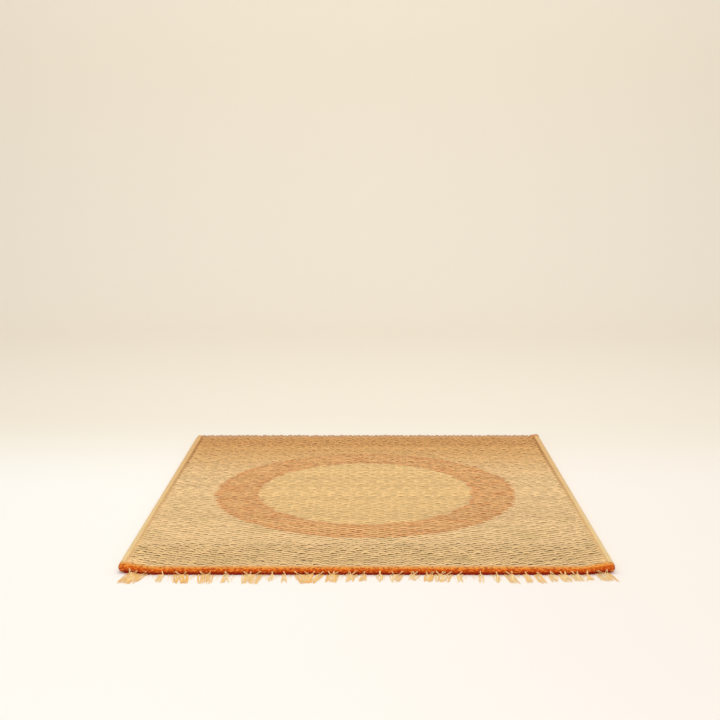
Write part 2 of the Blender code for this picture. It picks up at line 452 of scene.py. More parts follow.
class Recipe(NodeSheet):
    """A Geometry Nodes tree with named inputs that makes one plain mesh."""

    def __init__(self, name: str) -> None:
        """Start an empty tree with a geometry input and output."""
        super().__init__(bpy.data.node_groups.new(name, "GeometryNodeTree"))
        self.name = name
        self.values: dict[str, object] = {}
        self.tree.interface.new_socket(name="Carrier", in_out="INPUT", socket_type="NodeSocketGeometry")
        self.tree.interface.new_socket(name="Mesh", in_out="OUTPUT", socket_type="NodeSocketGeometry")
        self.given = self.tree.nodes.new("NodeGroupInput")
        self.result = self.tree.nodes.new("NodeGroupOutput")

    @property
    def carrier(self) -> Socket:
        """The geometry of the mesh that the recipe works on."""
        return self.given.outputs[0]

    def _input(self, name: str, kind: str, value: object) -> Wire:
        """Add a named input of a kind and note its value."""
        item = self.tree.interface.new_socket(name=name, in_out="INPUT", socket_type=kind)
        self.values[item.identifier] = value
        return Wire(self, find_socket(self.given.outputs, item.identifier))

    def size(self, name: str, value: float) -> Wire:
        """Add a named size or other number."""
        return self._input(name, "NodeSocketFloat", float(value))

    def count(self, name: str, value: int) -> Wire:
        """Add a named whole number."""
        return self._input(name, "NodeSocketInt", int(value))

    def position(self) -> tuple[Wire, Wire, Wire]:
        """The place of each point as three wires."""
        return self.split(self.node("GeometryNodeInputPosition").outputs[0])

    def move(self, geometry: Value, x: Value, y: Value, z: Value) -> Socket:
        """Set the place of each point."""
        inputs = {"Geometry": geometry, "Position": self.join(x, y, z)}
        return self.node("GeometryNodeSetPosition", inputs=inputs).outputs[0]

    def store(self, geometry: Value, name: str, value: Value) -> Socket:
        """Store a number on each point under a name, for the materials."""
        settings = {"data_type": "FLOAT", "domain": "POINT"}
        inputs = {"Geometry": geometry, "Name": name, "Value": value}
        return self.node("GeometryNodeStoreNamedAttribute", settings, inputs).outputs[0]

    def repeat(self, geometry: Value, count: Value, start: Value, step: Value) -> Socket:
        """Copy a geometry along a line of points and make the copies real."""
        line_inputs = {"Count": count, "Start Location": start, "Offset": step}
        line = self.node("GeometryNodeMeshLine", inputs=line_inputs)
        inputs = {"Points": line.outputs[0], "Instance": geometry}
        copies = self.node("GeometryNodeInstanceOnPoints", inputs=inputs)
        return self.node("GeometryNodeRealizeInstances", inputs={0: copies.outputs[0]}).outputs[0]

    def stored(self, name: str) -> Wire:
        """A number stored on the carrier's points under a name."""
        settings = {"data_type": "FLOAT"}
        return self.wire("GeometryNodeInputNamedAttribute", settings, {"Name": name})

    def resample(self, curve: Value, points: Value) -> Socket:
        """Space a number of points evenly along each curve."""
        inputs = {"Curve": curve, "Count": points}
        return self.node("GeometryNodeResampleCurve", inputs=inputs).outputs[0]

    def straight(self, half: Wire, points: Value) -> Socket:
        """A straight curve across the rug, half its length to each side."""
        ends = {"Start": self.join(-1 * half, 0.0, 0.0), "End": self.join(half, 0.0, 0.0)}
        line = self.node("GeometryNodeCurvePrimitiveLine", inputs=ends)
        return self.resample(line.outputs[0], points)

    def arc(self, points: int, *places: Value) -> Socket:
        """A smooth curve by four places: its start, its two handles and its end."""
        names = ("Start", "Start Handle", "End Handle", "End")
        inputs = {"Resolution": points, **dict(zip(names, places))}
        kind = "GeometryNodeCurvePrimitiveBezierSegment"
        return self.node(kind, {"mode": "POSITION"}, inputs).outputs[0]

    def sweep(
        self,
        curve: Value,
        sides: int,
        across: Value,
        up: Value,
        scale: Value = 1.0,
        smooth: bool = True,
    ) -> Socket:
        """Sweep an oval along curves and close its ends.

        Args:
            curve: The curves to follow.
            sides: How many sides the oval has.
            across: Half the oval's width, measured level.
            up: Half its height.
            scale: Its size along the curve, as a share.
            smooth: Whether it is shaded round instead of faceted.

        Returns:
            The swept mesh.
        """
        circle_inputs = {"Resolution": sides, "Radius": 1.0}
        circle = self.node("GeometryNodeCurvePrimitiveCircle", inputs=circle_inputs)
        oval_inputs = {"Geometry": circle.outputs[0], "Scale": self.join(across, up, 1.0)}
        oval = self.node("GeometryNodeTransform", inputs=oval_inputs)
        level = self.node("GeometryNodeSetCurveNormal", {"mode": "Z_UP"}, {"Curve": curve})
        inputs = {"Curve": level.outputs[0], "Profile Curve": oval.outputs[0]}
        inputs.update({"Scale": scale, "Fill Caps": True})
        swept = self.node("GeometryNodeCurveToMesh", inputs=inputs)
        inputs = {"Geometry": swept.outputs[0], "Shade Smooth": smooth}
        return self.node("GeometryNodeSetShadeSmooth", inputs=inputs).outputs[0]

    def bake(self, geometry: Value, finish: Material, carrier: bpy.types.Mesh | None = None) -> Piece:
        """Run the recipe once and keep its result as a plain mesh object.

        Args:
            geometry: What the recipe ends in.
            finish: The material of the result.
            carrier: The mesh that the recipe works on, if any.

        Returns:
            The finished object, at the origin and without modifiers.
        """
        material = self._input("Finish", "NodeSocketMaterial", finish)
        real = self.node("GeometryNodeRealizeInstances", inputs={0: geometry})
        inputs = {"Geometry": real.outputs[0], "Material": material}
        dressed = self.node("GeometryNodeSetMaterial", inputs=inputs)
        self.feed(self.result.inputs[0], dressed.outputs[0])
        made = bpy.data.objects.new(self.name, carrier or bpy.data.meshes.new(self.name))
        bpy.context.scene.collection.objects.link(made)
        modifier = made.modifiers.new(self.name, "NODES")
        modifier.node_group = self.tree
        for identifier, value in self.values.items():
            modifier[identifier] = value
        graph = bpy.context.evaluated_depsgraph_get()
        result = bpy.data.meshes.new_from_object(
            made.evaluated_get(graph), preserve_all_data_layers=True, depsgraph=graph
        )
        made.modifiers.remove(modifier)
        made.data = result
        result.name = self.name
        return made


def add_object(
    name: str, mesh_builder: bmesh.types.BMesh, finish: Material, closed: bool = True
) -> Piece:
    """Turn a bmesh into a smooth object at the origin.

    Args:
        name: The object's name.
        mesh_builder: The bmesh, which is freed.
        finish: The object's material.
        closed: Whether it is a closed body, whose faces are turned outwards.

    Returns:
        The object.
    """
    if closed:
        bmesh.ops.recalc_face_normals(mesh_builder, faces=mesh_builder.faces)
    mesh = bpy.data.meshes.new(name)
    mesh_builder.to_mesh(mesh)
    mesh_builder.free()
    mesh.materials.append(finish)
    mesh.shade_smooth()
    made = bpy.data.objects.new(name, mesh)
    bpy.context.scene.collection.objects.link(made)
    return made


def loft(rings: Sequence[Sequence[Vector]]) -> bmesh.types.BMesh:
    """Join a run of closed rings into one closed body with a pole at each end.

    Args:
        rings: The rings in order, all with the same number of points.

    Returns:
        The body as a bmesh.
    """
    mesh_builder = bmesh.new()
    made = [[mesh_builder.verts.new(point) for point in ring] for ring in rings]
    count = len(made[0])
    for near, far in zip(made, made[1:]):
        for side in range(count):
            after = (side + 1) % count
            mesh_builder.faces.new((near[side], near[after], far[after], far[side]))
    for ring in (made[0], made[-1]):
        pole = mesh_builder.verts.new(sum((v.co for v in ring), Vector()) / count)
        for side in range(count):
            mesh_builder.faces.new((ring[side], ring[(side + 1) % count], pole))
    return mesh_builder


def even_steps(start: float, end: float, longest: float) -> list[float]:
    """Places from start to end, no further apart than longest."""
    count = max(1, math.ceil((end - start) / longest - 1e-6))
    return [start + (end - start) * step / count for step in range(count + 1)]


def claim(piece: Piece, slot: Slot, *nodes: str) -> Piece:
    """Ride a finished piece on the rug, name its slot and the CAD nodes it stands for."""
    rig.ride(piece, "root")
    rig.slot(piece, slot.value)
    if nodes:
        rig.replaces(piece, *nodes)
    triangles = sum(len(face.vertices) - 2 for face in piece.data.polygons)
    LOG.info("%s: %d triangles", piece.name, triangles)
    return piece


@dataclass(frozen=True)
class RugPlan:
    """Sizes that the sub-assemblies share, as the CAD has them."""

    half_width: float = 0.600
    front_line: float = -0.6565
    back_line: float = 0.7235
    roll_radius: float = 9 * MM
    roll_end_radius: float = 12.3 * MM
    roll_half_length: float = 592 * MM
    roll_behind_line: float = 4.6 * MM
    roll_setback: float = 14 * MM
    roll_swell: float = 85 * MM
    piping_radius: float = 8.7 * MM
    gap: float = 0.3 * MM

    def end_share(self, x: float) -> float:
        """Rise from 0 along the roll's middle to 1 at its ends."""
        return smooth_share(abs(x), self.roll_half_length - self.roll_swell, self.roll_half_length)

    def roll_size(self, x: float) -> float:
        """Radius of the roll at x."""
        return self.roll_radius + (self.roll_end_radius - self.roll_radius) * self.end_share(x)

    def roll_y(self, x: float) -> float:
        """Where the roll's centre lies along Y at x."""
        return self.front_line + self.roll_behind_line + self.roll_setback * self.end_share(x)

    def field_front(self, x: float) -> float:
        """Where the woven field starts along Y at x, just behind the roll."""
        return self.roll_y(x) + self.roll_size(x) + self.gap

    @property
    def field_half(self) -> float:
        """Half the width of the woven field, between the two lengths of piping."""
        return self.half_width - 2 * self.piping_radius - self.gap


@dataclass(frozen=True)
class StrawWeave:
    """Straw yarn in its woven-in colours: the field, its ring and its two end bands, with painted shade in the
    recesses between floats and a painted highlight on their crowns.
    """

    field: Colour = srgb(242, 204, 147)
    field_back_tint_and_shade: Colour = srgb(231, 177, 108)
    heart: Colour = srgb(240, 200, 136)
    ring: Colour = srgb(235, 182, 118)
    ring_dark: Colour = srgb(223, 156, 95)
    front_band: Colour = srgb(241, 202, 142)
    back_band: Colour = srgb(224, 166, 99)
    khaki: Colour = srgb(206, 176, 112)
    # Painted shade for the recesses between floats and low down by the ground.
    recess_shade: Colour = srgb(104, 64, 26)
    front_fade: tuple[float, float] = (0.46, 0.51)
    back_fade: tuple[float, float] = (0.54, 0.58)
    flank_height: float = 2.8 * MM

    def make(self) -> Material:
        """Make the material, which reads the ring and tone stored on the yarns."""
        sheet = ShaderSheet("straw_weave")
        x, y, z = sheet.place
        to_front = 0 - y
        tone = sheet.attribute("tone")
        patches = sheet.cloud(sheet.join(x * 9, y * 9, 0.0), 2.0)
        # Darker and browner towards the back: partly the yarn's own tint, partly painted shade.
        colour = sheet.blend(self.field, self.field_back_tint_and_shade, y.rise(0.1, 0.6))
        edge_wander = (sheet.cloud(sheet.join(x * 25, 3.0, 0.0), 2.0) - 0.5) * 0.05
        colour = sheet.blend(colour, self.front_band, (-1 * (y + edge_wander)).rise(*self.front_fade))
        colour = sheet.blend(colour, self.back_band, (y + edge_wander).rise(*self.back_fade))
        khaki = patches.rise(0.45, 0.75) * (0.12 + 0.32 * to_front.rise(-0.1, 0.5))
        colour = sheet.blend(colour, self.khaki, khaki)
        colour = sheet.blend(colour, self.heart, sheet.attribute("heart"))
        streaks = sheet.cloud(sheet.join(x * 14, y * 40, 5.0), 3.0)
        ruddy = streaks.rise(0.42, 0.7).most(sheet.attribute("rim") * 0.8)
        ring_colour = sheet.blend(self.ring, self.ring_dark, ruddy)
        colour = sheet.blend(colour, ring_colour, sheet.attribute("ring"))
        fibres = sheet.grain(170, 500, 500)
        light = 1 + (tone - 0.5) * 0.5 + (fibres - 0.5) * 0.85
        flank = (z - sheet.attribute("core")) / self.flank_height
        # Painted highlight on the top of each float, stronger towards the front.
        crown_highlight = flank.rise(0.7, 1.0) * (0.08 + 0.1 * to_front.rise(0.3, 0.52))
        # Painted shade: the field is darker to the right and towards the front.
        shade = 0.05 * x.rise(-0.5, 0.6) * to_front.rise(-0.25, 0.3)
        colour = sheet.dim(colour, light + crown_highlight - shade)
        # Painted shade on the lower flank of each float, as strong as the gap share stored on the yarns.
        colour = sheet.blend(colour, self.recess_shade, (1 - flank.rise(-0.2, 0.75)) * sheet.attribute("gap"))
        # Painted shade on all yarn below 14 mm above the floor, darkest from 9.5 mm down.
        colour = sheet.blend(colour, self.recess_shade, (1 - z.rise(0.0095, 0.0140)) * 0.7)
        return sheet.finish(colour, 0.9, fibres, 0.5 * MM, 0.1)


@dataclass(frozen=True)
class StrawGround:
    """The flat cloth under the wefts, seen only in the gaps between them; its dark browns are partly its own colour
    and partly painted shade of the gaps.
    """

    light: Colour = srgb(176, 128, 72)
    dark: Colour = srgb(118, 78, 38)

    def make(self) -> Material:
        """Make the material: fine ribs across the rug."""
        sheet = ShaderSheet("straw_ground")
        ribs = sheet.place[1].stripes(7.4 * MM)
        specks = sheet.grain(400, 400, 400)
        colour = sheet.blend(self.dark, self.light, ribs * 0.5 + specks * 0.5)
        return sheet.finish(colour, 0.95, ribs * 0.7 + specks * 0.3, 0.8 * MM, 0.0)


@dataclass(frozen=True)
class OrangeFelt:
    """Thick felt, deep orange on its sides, with a painted highlight where its nap would catch the light on top and
    painted shade on its darker red underside.
    """

    # The top colour is a painted highlight; low and under are painted shade on the lower side and underside.
    top: Colour = srgb(238, 184, 94)
    side: Colour = srgb(214, 100, 8)
    low: Colour = srgb(172, 54, 3)
    under: Colour = srgb(138, 36, 8)
    deep: Colour = srgb(170, 58, 6)
    pale: Colour = srgb(240, 152, 62)

    def make(self) -> Material:
        """Make the material, which paints light and shade by height and is mottled like pressed wool."""
        sheet = ShaderSheet("orange_felt")
        mottle = sheet.grain(135, 230, 230, 3.0)
        fine = sheet.grain(1100, 1500, 1500)
        # Painted light: by its height share the roll grades from a shaded dark red underside through orange sides to a
        # pale, lit top.
        height = sheet.attribute("rise") + (mottle - 0.5) * 0.42
        colour = sheet.blend(self.under, self.low, height.rise(0.05, 0.30))
        colour = sheet.blend(colour, self.side, height.rise(0.36, 0.78))
        colour = sheet.blend(colour, self.top, height.rise(0.72, 1.05))
        colour = sheet.blend(colour, self.deep, mottle.rise(0.46, 0.62) * 0.85)
        colour = sheet.blend(colour, self.pale, (1 - mottle.rise(0.34, 0.5)) * 0.75)
        colour = sheet.dim(colour, 1.03 + (fine - 0.5) * 0.65)
        return sheet.finish(colour, 0.95, mottle * 0.6 + fine * 0.4, 0.9 * MM, 0.03)


@dataclass(frozen=True)
class PalePiping:
    """Pale golden cloth sewn round a cord, a little browner towards the back."""

    front: Colour = srgb(236, 202, 140)
    back: Colour = srgb(226, 178, 110)
    knob: Colour = srgb(206, 140, 78)
    knob_fade: tuple[float, float] = (0.685, 0.705)

    def make(self, knobbed: bool) -> Material:
        """Make the material.

        Args:
            knobbed: Whether the back end is the browner knob.

        Returns:
            The finished material.
        """
        name = "pale_piping_knobbed" if knobbed else "pale_piping_plain"
        sheet = ShaderSheet(name)
        _, y, z = sheet.place
        twill = (y + z * 0.8).stripes(2.6 * MM)
        wear = sheet.grain(60, 22, 90, 3.0)
        colour = sheet.blend(self.front, self.back, y.rise(-0.6, 0.65))
        if knobbed:
            colour = sheet.blend(colour, self.knob, y.rise(*self.knob_fade))
        colour = sheet.dim(colour, 1 + (wear - 0.5) * 0.28 + (twill - 0.5) * 0.1)
        return sheet.finish(colour, 0.88, twill * 0.5 + wear * 0.5, 0.5 * MM, 0.15)


@dataclass(frozen=True)
class FringeThread:
    """Loose cotton thread, cream to peach, golden in the broad tufts."""

    cream: Colour = srgb(252, 230, 176)
    peach: Colour = srgb(248, 202, 126)
    gold: Colour = srgb(250, 188, 84)
    glow: Colour = srgb(255, 222, 164)

    def make(self) -> Material:
        """Make the material, which reads each thread's tone and how golden it is."""
        sheet = ShaderSheet("fringe_thread")
        colour = sheet.blend(self.cream, self.peach, sheet.attribute("tone"))
        colour = sheet.blend(colour, self.gold, sheet.attribute("golden"))
        fibre = sheet.grain(1400, 300, 1400)
        colour = sheet.dim(colour, 1 + (fibre - 0.5) * 0.25)
        sheet.shader.inputs["Sheen Tint"].default_value = self.glow
        return sheet.finish(colour, 0.9, fibre, 0.04 * MM, 0.8)


@dataclass(frozen=True)
class DarkTape:
    """The dark red-brown tape that the threads are knotted into, its darkness partly its own colour and partly painted
    shade of the roll's underside.
    """

    light: Colour = srgb(178, 44, 10)
    dark: Colour = srgb(104, 16, 3)

    def make(self) -> Material:
        """Make the material: ribs across the tape."""
        sheet = ShaderSheet("dark_tape")
        ribs = sheet.place[0].stripes(1.8 * MM)
        specks = sheet.grain(500, 500, 500)
        colour = sheet.blend(self.dark, self.light, ribs * 0.4 + specks * 0.6)
        return sheet.finish(colour, 0.95, ribs, 0.3 * MM, 0.0)


class TwistedYarn(ShaderSheet):
    """The material of a thick, loosely twisted yarn, with painted shade towards its foot."""

    def __init__(self, name: str) -> None:
        """Start the material with the yarn's twist and its fine fibres."""
        super().__init__(name)
        x, y, z = self.place
        self.twist = (x + y * 0.9 - z * 0.9).stripes(4.5 * MM)
        self.fine = self.grain(300, 700, 700)

    def close(self, colour: Value, foot: Colour) -> Material:
        """Paint shade on the yarn's foot, down by the ground, and connect the shader."""
        # Painted shade: the foot colour below 6 mm, fading out by 14 mm above the floor.
        shown = self.blend(foot, colour, self.place[2].rise(0.006, 0.014))
        return self.finish(shown, 0.9, self.twist * 0.6 + self.fine * 0.4, 0.7 * MM, 0.1)


@dataclass(frozen=True)
class HemCord:
    """The pale cord that the field's front is finished with."""

    light: Colour = srgb(250, 216, 164)
    dark: Colour = srgb(226, 170, 116)

    def make(self) -> Material:
        """Make the material: a twisted cord."""
        yarn = TwistedYarn("hem_cord")
        colour = yarn.blend(self.dark, self.light, yarn.twist * 0.45 + yarn.fine * 0.55)
        return yarn.close(colour, self.dark)


@dataclass(frozen=True)
class SeamThread:
    """Waxed sewing thread, almost the cloth's colour in front and browner at the back."""

    front: Colour = srgb(232, 194, 136)
    back: Colour = srgb(178, 128, 76)

    def make(self, node: str) -> Material:
        """Make the material for one side's seam.

        Args:
            node: The piping's node, which names the material.

        Returns:
            The finished material.
        """
        sheet = ShaderSheet(f"{node}_thread")
        fine = sheet.grain(600, 600, 600)
        colour = sheet.blend(self.front, self.back, sheet.place[1].rise(-0.55, 0.45))
        colour = sheet.dim(colour, 1 + (fine - 0.5) * 0.3)
        return sheet.finish(colour, 0.8, fine, 0.2 * MM, 0.0)


@dataclass(frozen=True)
class HemYarn:
    """The thick brownish yarn of the back hem, more orange at the right corner's knob."""

    light: Colour = srgb(224, 180, 134)
    dark: Colour = srgb(166, 118, 80)
    knob: Colour = srgb(206, 140, 78)
    knob_fade: tuple[float, float] = (0.5655, 0.5675)

    def make(self) -> Material:
        """Make the material: a loosely twisted yarn."""
        yarn = TwistedYarn("back_hem_yarn")
        x = yarn.place[0]
        loops = yarn.cloud(yarn.join(x * 45, 1.0, 1.0), 1.0)
        shade = yarn.twist * 0.3 + yarn.fine * 0.3 + loops * 0.4
        colour = yarn.blend(self.dark, self.light, shade)
        colour = yarn.blend(colour, self.knob, x.rise(*self.knob_fade) * 0.85)
        return yarn.close(colour, self.dark)


@dataclass
class WovenField:
    """The woven cloth: a flat ground, thick wefts across it and a cord along its front."""

    plan: RugPlan
    row_pitch: float = 8.0 * MM
    column_pitch: float = 20 * MM
    samples_per_float: int = 4
    middle_height: float = 11.5 * MM
    relief: float = 2.0 * MM
    yarn_half_width: float = 5.4 * MM
    yarn_half_height: float = 2.8 * MM
    ground_height: float = 10 * MM
    first_row_behind: float = 10 * MM
    last_row_before: float = 18 * MM
    weft_pieces: int = 4
    ring_centre: tuple[float, float] = (-0.004, 0.0165)
    ring_outer: float = 0.436
    ring_inner: tuple[float, float] = (0.312, 0.322)
    tuck: float = 3.2 * MM
    bow_reach: float = 75 * MM
    stroke_length: float = 38 * MM
    shift_length: float = 100 * MM
    seam_length: float = 28 * MM
    jitter: float = 0.8 * MM
    ragged_ring: float = 16 * MM
    ground_step: float = 12 * MM
    cord_points: int = 391
    cord_height: float = 13.6 * MM
    cord_half_width: float = 3.4 * MM
    cord_half_height: float = 3.0 * MM
    cord_end: float = 8 * MM
    cord_end_dip: float = 2.5 * MM

    @property
    def first_row_y(self) -> float:
        """Where the first weft lies along Y in the middle of the rug."""
        return self.plan.field_front(0) + self.first_row_behind

    @property
    def rows(self) -> int:
        """How many wefts fit between the front cord and the back hem."""
        last = self.plan.back_line - self.last_row_before
        return int((last - self.first_row_y) / self.row_pitch) + 1

    def build_ground(self) -> Piece:
        """Build the flat cloth under the wefts as one closed sheet."""
        back = self.plan.back_line - 5 * MM
        low = 0.2 * MM
        high = self.ground_height
        rings = []
        for x in even_steps(-self.plan.field_half, self.plan.field_half, self.ground_step):
            front = self.plan.field_front(x)
            section = ((front, low), (front, high), (back, high), (back, low))
            rings.append([Vector((x, y, z)) for y, z in section])
        made = add_object("rug_ground", loft(rings), StrawGround().make())
        made.data.shade_flat()
        return made

    def build_wefts(self, number: int, first: int, rows: int, finish: Material) -> Piece:
        """Weave one stretch of wefts.

        Args:
            number: The stretch's number, from the front.
            first: Its first row.
            rows: How many rows it has.
            finish: The yarn's material.

        Returns:
            The stretch as one mesh.
        """
        recipe = Recipe(f"wefts_{number}")
        half = recipe.size("Half width", self.plan.field_half + self.tuck)
        row_pitch = recipe.size("Row pitch", self.row_pitch)
        column_pitch = recipe.size("Column pitch", self.column_pitch)
        first_y = recipe.size("First row Y", self.first_row_y)
        relief = recipe.size("Relief", self.relief)
        middle = recipe.size("Middle height", self.middle_height)
        seed = recipe.size("Seed", 7.0)
        points = round(2 * self.plan.field_half / self.column_pitch * self.samples_per_float)
        yarn = recipe.straight(half, recipe.count("Points", points + 1))
        start = recipe.join(0.0, first_y + recipe.size("First row", first) * row_pitch, 0.0)
        step = recipe.join(0.0, row_pitch, 0.0)
        rows_made = recipe.repeat(yarn, recipe.count("Rows", rows), start, step)
        x, y, _ = recipe.position()
        row = round((y - first_y) / row_pitch)
        phase = x / column_pitch
        column = round(phase)
        luck = recipe.dice(column, row, seed)
        row_luck = recipe.dice(0.5, row, seed + 1)
        stroke = recipe.cloud(recipe.join(x / self.stroke_length, row * 7.3, seed + 2), 2.0)
        wander = recipe.cloud(recipe.join(x / self.stroke_length, y / 0.05, seed), 1.0) - 0.5
        shift = recipe.cloud(recipe.join(x / self.shift_length, y / 0.03, seed + 5), 1.0) - 0.5
        loose = 1.2 - 0.7 * (0 - y).rise(0.3, 0.5)
        turns = phase + shift * loose + (row_luck - 0.5) * 0.3 + row
        wave = (turns * math.pi).cos() - 0.2
        wave = wave.sign() * abs(wave).least(1.0) ** 0.6
        strength = self.region_strength(x, y)
        edge = abs(x).rise(self.plan.field_half - 7 * MM, self.plan.field_half + 1 * MM)
        dip = (0 - wave).most(0.0)
        depth = relief * strength * (1 - edge) * (1 - dip * (1 - luck.span(0.3, 1.5)))
        z = middle + wave * depth + (luck - 0.5) * self.jitter + edge * 1.2 * MM
        near_front = 1 - (y - first_y).rise(0.0, self.bow_reach)
        drift = wander * (3.5 * MM + 3.5 * MM * strength)
        lie = y + self.bow(x) * near_front + drift + (row_luck - 0.5) * 1.0 * MM
        moved = recipe.move(rows_made, x, lie, z)
        lift = wave * 0.5 + 0.5
        # Painted shade under the front flank of each raised float, in streaks along the rows and by each crossing's
        # luck.
        seam = recipe.cloud(recipe.join(x / self.seam_length, row * 5.1, seed + 9), 1.0)
        seam = seam.rise(0.25, 0.72)
        dark = (seam * 0.55 + luck * 0.3 + 0.25) * (0.2 + 1.2 * lift)
        ragged = x + (luck - 0.5) * self.ragged_ring
        inner = self.oval(x, y, *self.ring_inner)
        outer = self.oval(x, y, self.ring_outer, self.ring_outer)
        marks = {
            "tone": luck * 0.2 + row_luck * 0.35 + stroke * 0.45,
            "core": z,
            # How strong the painted shade on each yarn's lower flank is.
            "gap": self.gap_shade_share(x, y) * dark,
            "ring": self.ring_share(ragged, y),
            "heart": 1 - (inner > 1.0),
            "rim": outer.rise(0.93, 1.0) + 1 - inner.rise(1.0, 1.08),
        }
        for name, value in marks.items():
            moved = recipe.store(moved, name, value)
        thickness = (0.68 + 0.32 * lift) * luck.span(0.95, 1.05)
        swept = recipe.sweep(moved, 6, self.yarn_half_width, self.yarn_half_height, thickness)
        return recipe.bake(swept, finish)

    def bow(self, x: Wire) -> Wire:
        """How far back the roll's ends push the field's front at x."""
        plan = self.plan
        push = abs(x).rise(plan.roll_half_length - plan.roll_swell, plan.roll_half_length)
        return push * (plan.roll_setback + plan.roll_end_radius - plan.roll_radius)

    def region_strength(self, x: Wire, y: Wire) -> Wire:
        """How strongly the weave stands up, most in the front band."""
        heart = self.oval(x, y, *self.ring_inner)
        inside = 1 - heart.rise(0.93, 1.07)
        front = (0 - y).rise(0.42, 0.52)
        return 0.55 + front * 0.4 - inside * 0.15

    def gap_shade_share(self, x: Wire, y: Wire) -> Wire:
        """How strong the painted shade in the gaps between floats is, most in the back band."""
        heart = 1 - self.oval(x, y, *self.ring_inner).rise(0.95, 1.05)
        within = 1 - self.oval(x, y, self.ring_outer, self.ring_outer).rise(0.95, 1.05)
        rim = within * (1 - heart)
        front = (0 - y).rise(0.30, 0.52)
        back = y.rise(0.05, 0.55)
        end = y.rise(0.54, 0.60)
        return 0.52 + front * 0.26 + back * 0.5 + end * 0.6 + rim * 0.2 + heart * 0.06

    def oval(self, x: Wire, y: Wire, across: float, along: float) -> Wire:
        """How far out a place is from the ring's centre, with 1 on the given oval."""
        out_x = (x - self.ring_centre[0]) / across
        out_y = (y - self.ring_centre[1]) / along
        return (out_x * out_x + out_y * out_y) ** 0.5

    def ring_share(self, x: Wire, y: Wire) -> Wire:
        """1 within the darker ring, and 0 elsewhere."""
        within = 1 - self.oval(x, y, self.ring_outer, self.ring_outer).rise(0.985, 1.015)
        return within * self.oval(x, y, *self.ring_inner).rise(0.985, 1.015)

    def build_front_cord(self) -> Piece:
        """Lay the pale cord along the field's front edge, against the roll."""
        recipe = Recipe("front_cord")
        half = recipe.size("Half length", self.plan.field_half + 2 * MM)
        height = recipe.size("Height", self.cord_height)
        cord = recipe.straight(half, self.cord_points)
        x, _, _ = recipe.position()
        lumps = recipe.cloud(recipe.join(x / 0.011, 0.0, 2.0), 1.0)
        wave = recipe.cloud(recipe.join(x / 0.05, 0.0, 9.0), 1.0) - 0.5
        y = self.bow(x) + (self.plan.field_front(0) + 2.6 * MM) + wave * 0.8 * MM
        tucked = (abs(x) > self.plan.field_half - self.cord_end) * -1 * self.cord_end_dip
        moved = recipe.move(cord, x, y, height + wave * 1.2 * MM + tucked)
        size = lumps.span(0.8, 1.2)
        swept = recipe.sweep(moved, 8, self.cord_half_width, self.cord_half_height, size)
        return recipe.bake(swept, HemCord().make())

    def build(self) -> None:
        finish = StrawWeave().make()
        ground = claim(self.build_ground(), Slot.STRAW_WEAVE, "field")
        yarns = []
        bounds = [round(self.rows * share / self.weft_pieces) for share in range(self.weft_pieces + 1)]
        for number, (first, after) in enumerate(zip(bounds, bounds[1:]), 1):
            wefts = self.build_wefts(number, first, after - first, finish)
            yarns.append(claim(wefts, Slot.STRAW_WEAVE, "field"))
        yarns.append(claim(self.build_front_cord(), Slot.STRAW_WEAVE, "field"))
        yarns.append(claim(BackHem(self.plan).build(), Slot.STRAW_WEAVE, "field"))
        flat = (2 * self.plan.field_half, self.plan.back_line - self.plan.field_front(0))
        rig.sheet(ground, flat=flat, held="laid", with_pieces=yarns)


@dataclass
class BackHem:
    """Thick yarn loops over the field's back edge, every other one higher."""

    plan: RugPlan
    loop_pitch: float = 15.12 * MM
    crest: float = 16 * MM
    crest_rise: float = 2.1 * MM
    corner_rise: float = 3.2 * MM
    yarn_half_width: float = 8.0 * MM
    yarn_half_height: float = 4.2 * MM

    def build(self) -> Piece:
        """Bend one loop over the edge, repeat it along the hem and vary each copy."""
        recipe = Recipe("back_hem")
        pitch = recipe.size("Loop pitch", self.loop_pitch)
        back = recipe.size("Back line", self.plan.back_line)
        rise = recipe.size("Crest rise", self.crest_rise)
        each_side = int(self.plan.field_half / self.loop_pitch)
        top = self.crest - self.yarn_half_height
        arc = recipe.arc(
            10,
            (0, -34 * MM, 8.5 * MM),
            (0, -16 * MM, top + 3.5 * MM),
            (0, -1 * MM, top + 4 * MM),
            (0, -4.2 * MM, 3.0 * MM),
        )
        start = recipe.join(-1 * pitch * each_side, back, 0.0)
        step = recipe.join(pitch, 0.0, 0.0)
        loops = recipe.repeat(arc, recipe.count("Loops", 2 * each_side + 1), start, step)
        x, y, z = recipe.position()
        number = round(x / pitch)
        luck = recipe.dice(number, 1.0, 3.0)
        high = (number * math.pi).cos()
        corner = (number > each_side - 0.5) * self.corner_rise
        lifted = z + (z / top) ** 2 * (high * rise + (luck - 0.5) * 1.2 * MM + corner)
        sway = (recipe.dice(number, 2.0, 3.0) - 0.5) * 3 * MM
        across = x + sway * (back - y) / 0.02
        moved = recipe.move(loops, across, y + (luck - 0.5) * 1.5 * MM, lifted)
        size = luck.span(0.92, 1.08)
        swept = recipe.sweep(moved, 8, self.yarn_half_width, self.yarn_half_height, size)
        return recipe.bake(swept, HemYarn().make())


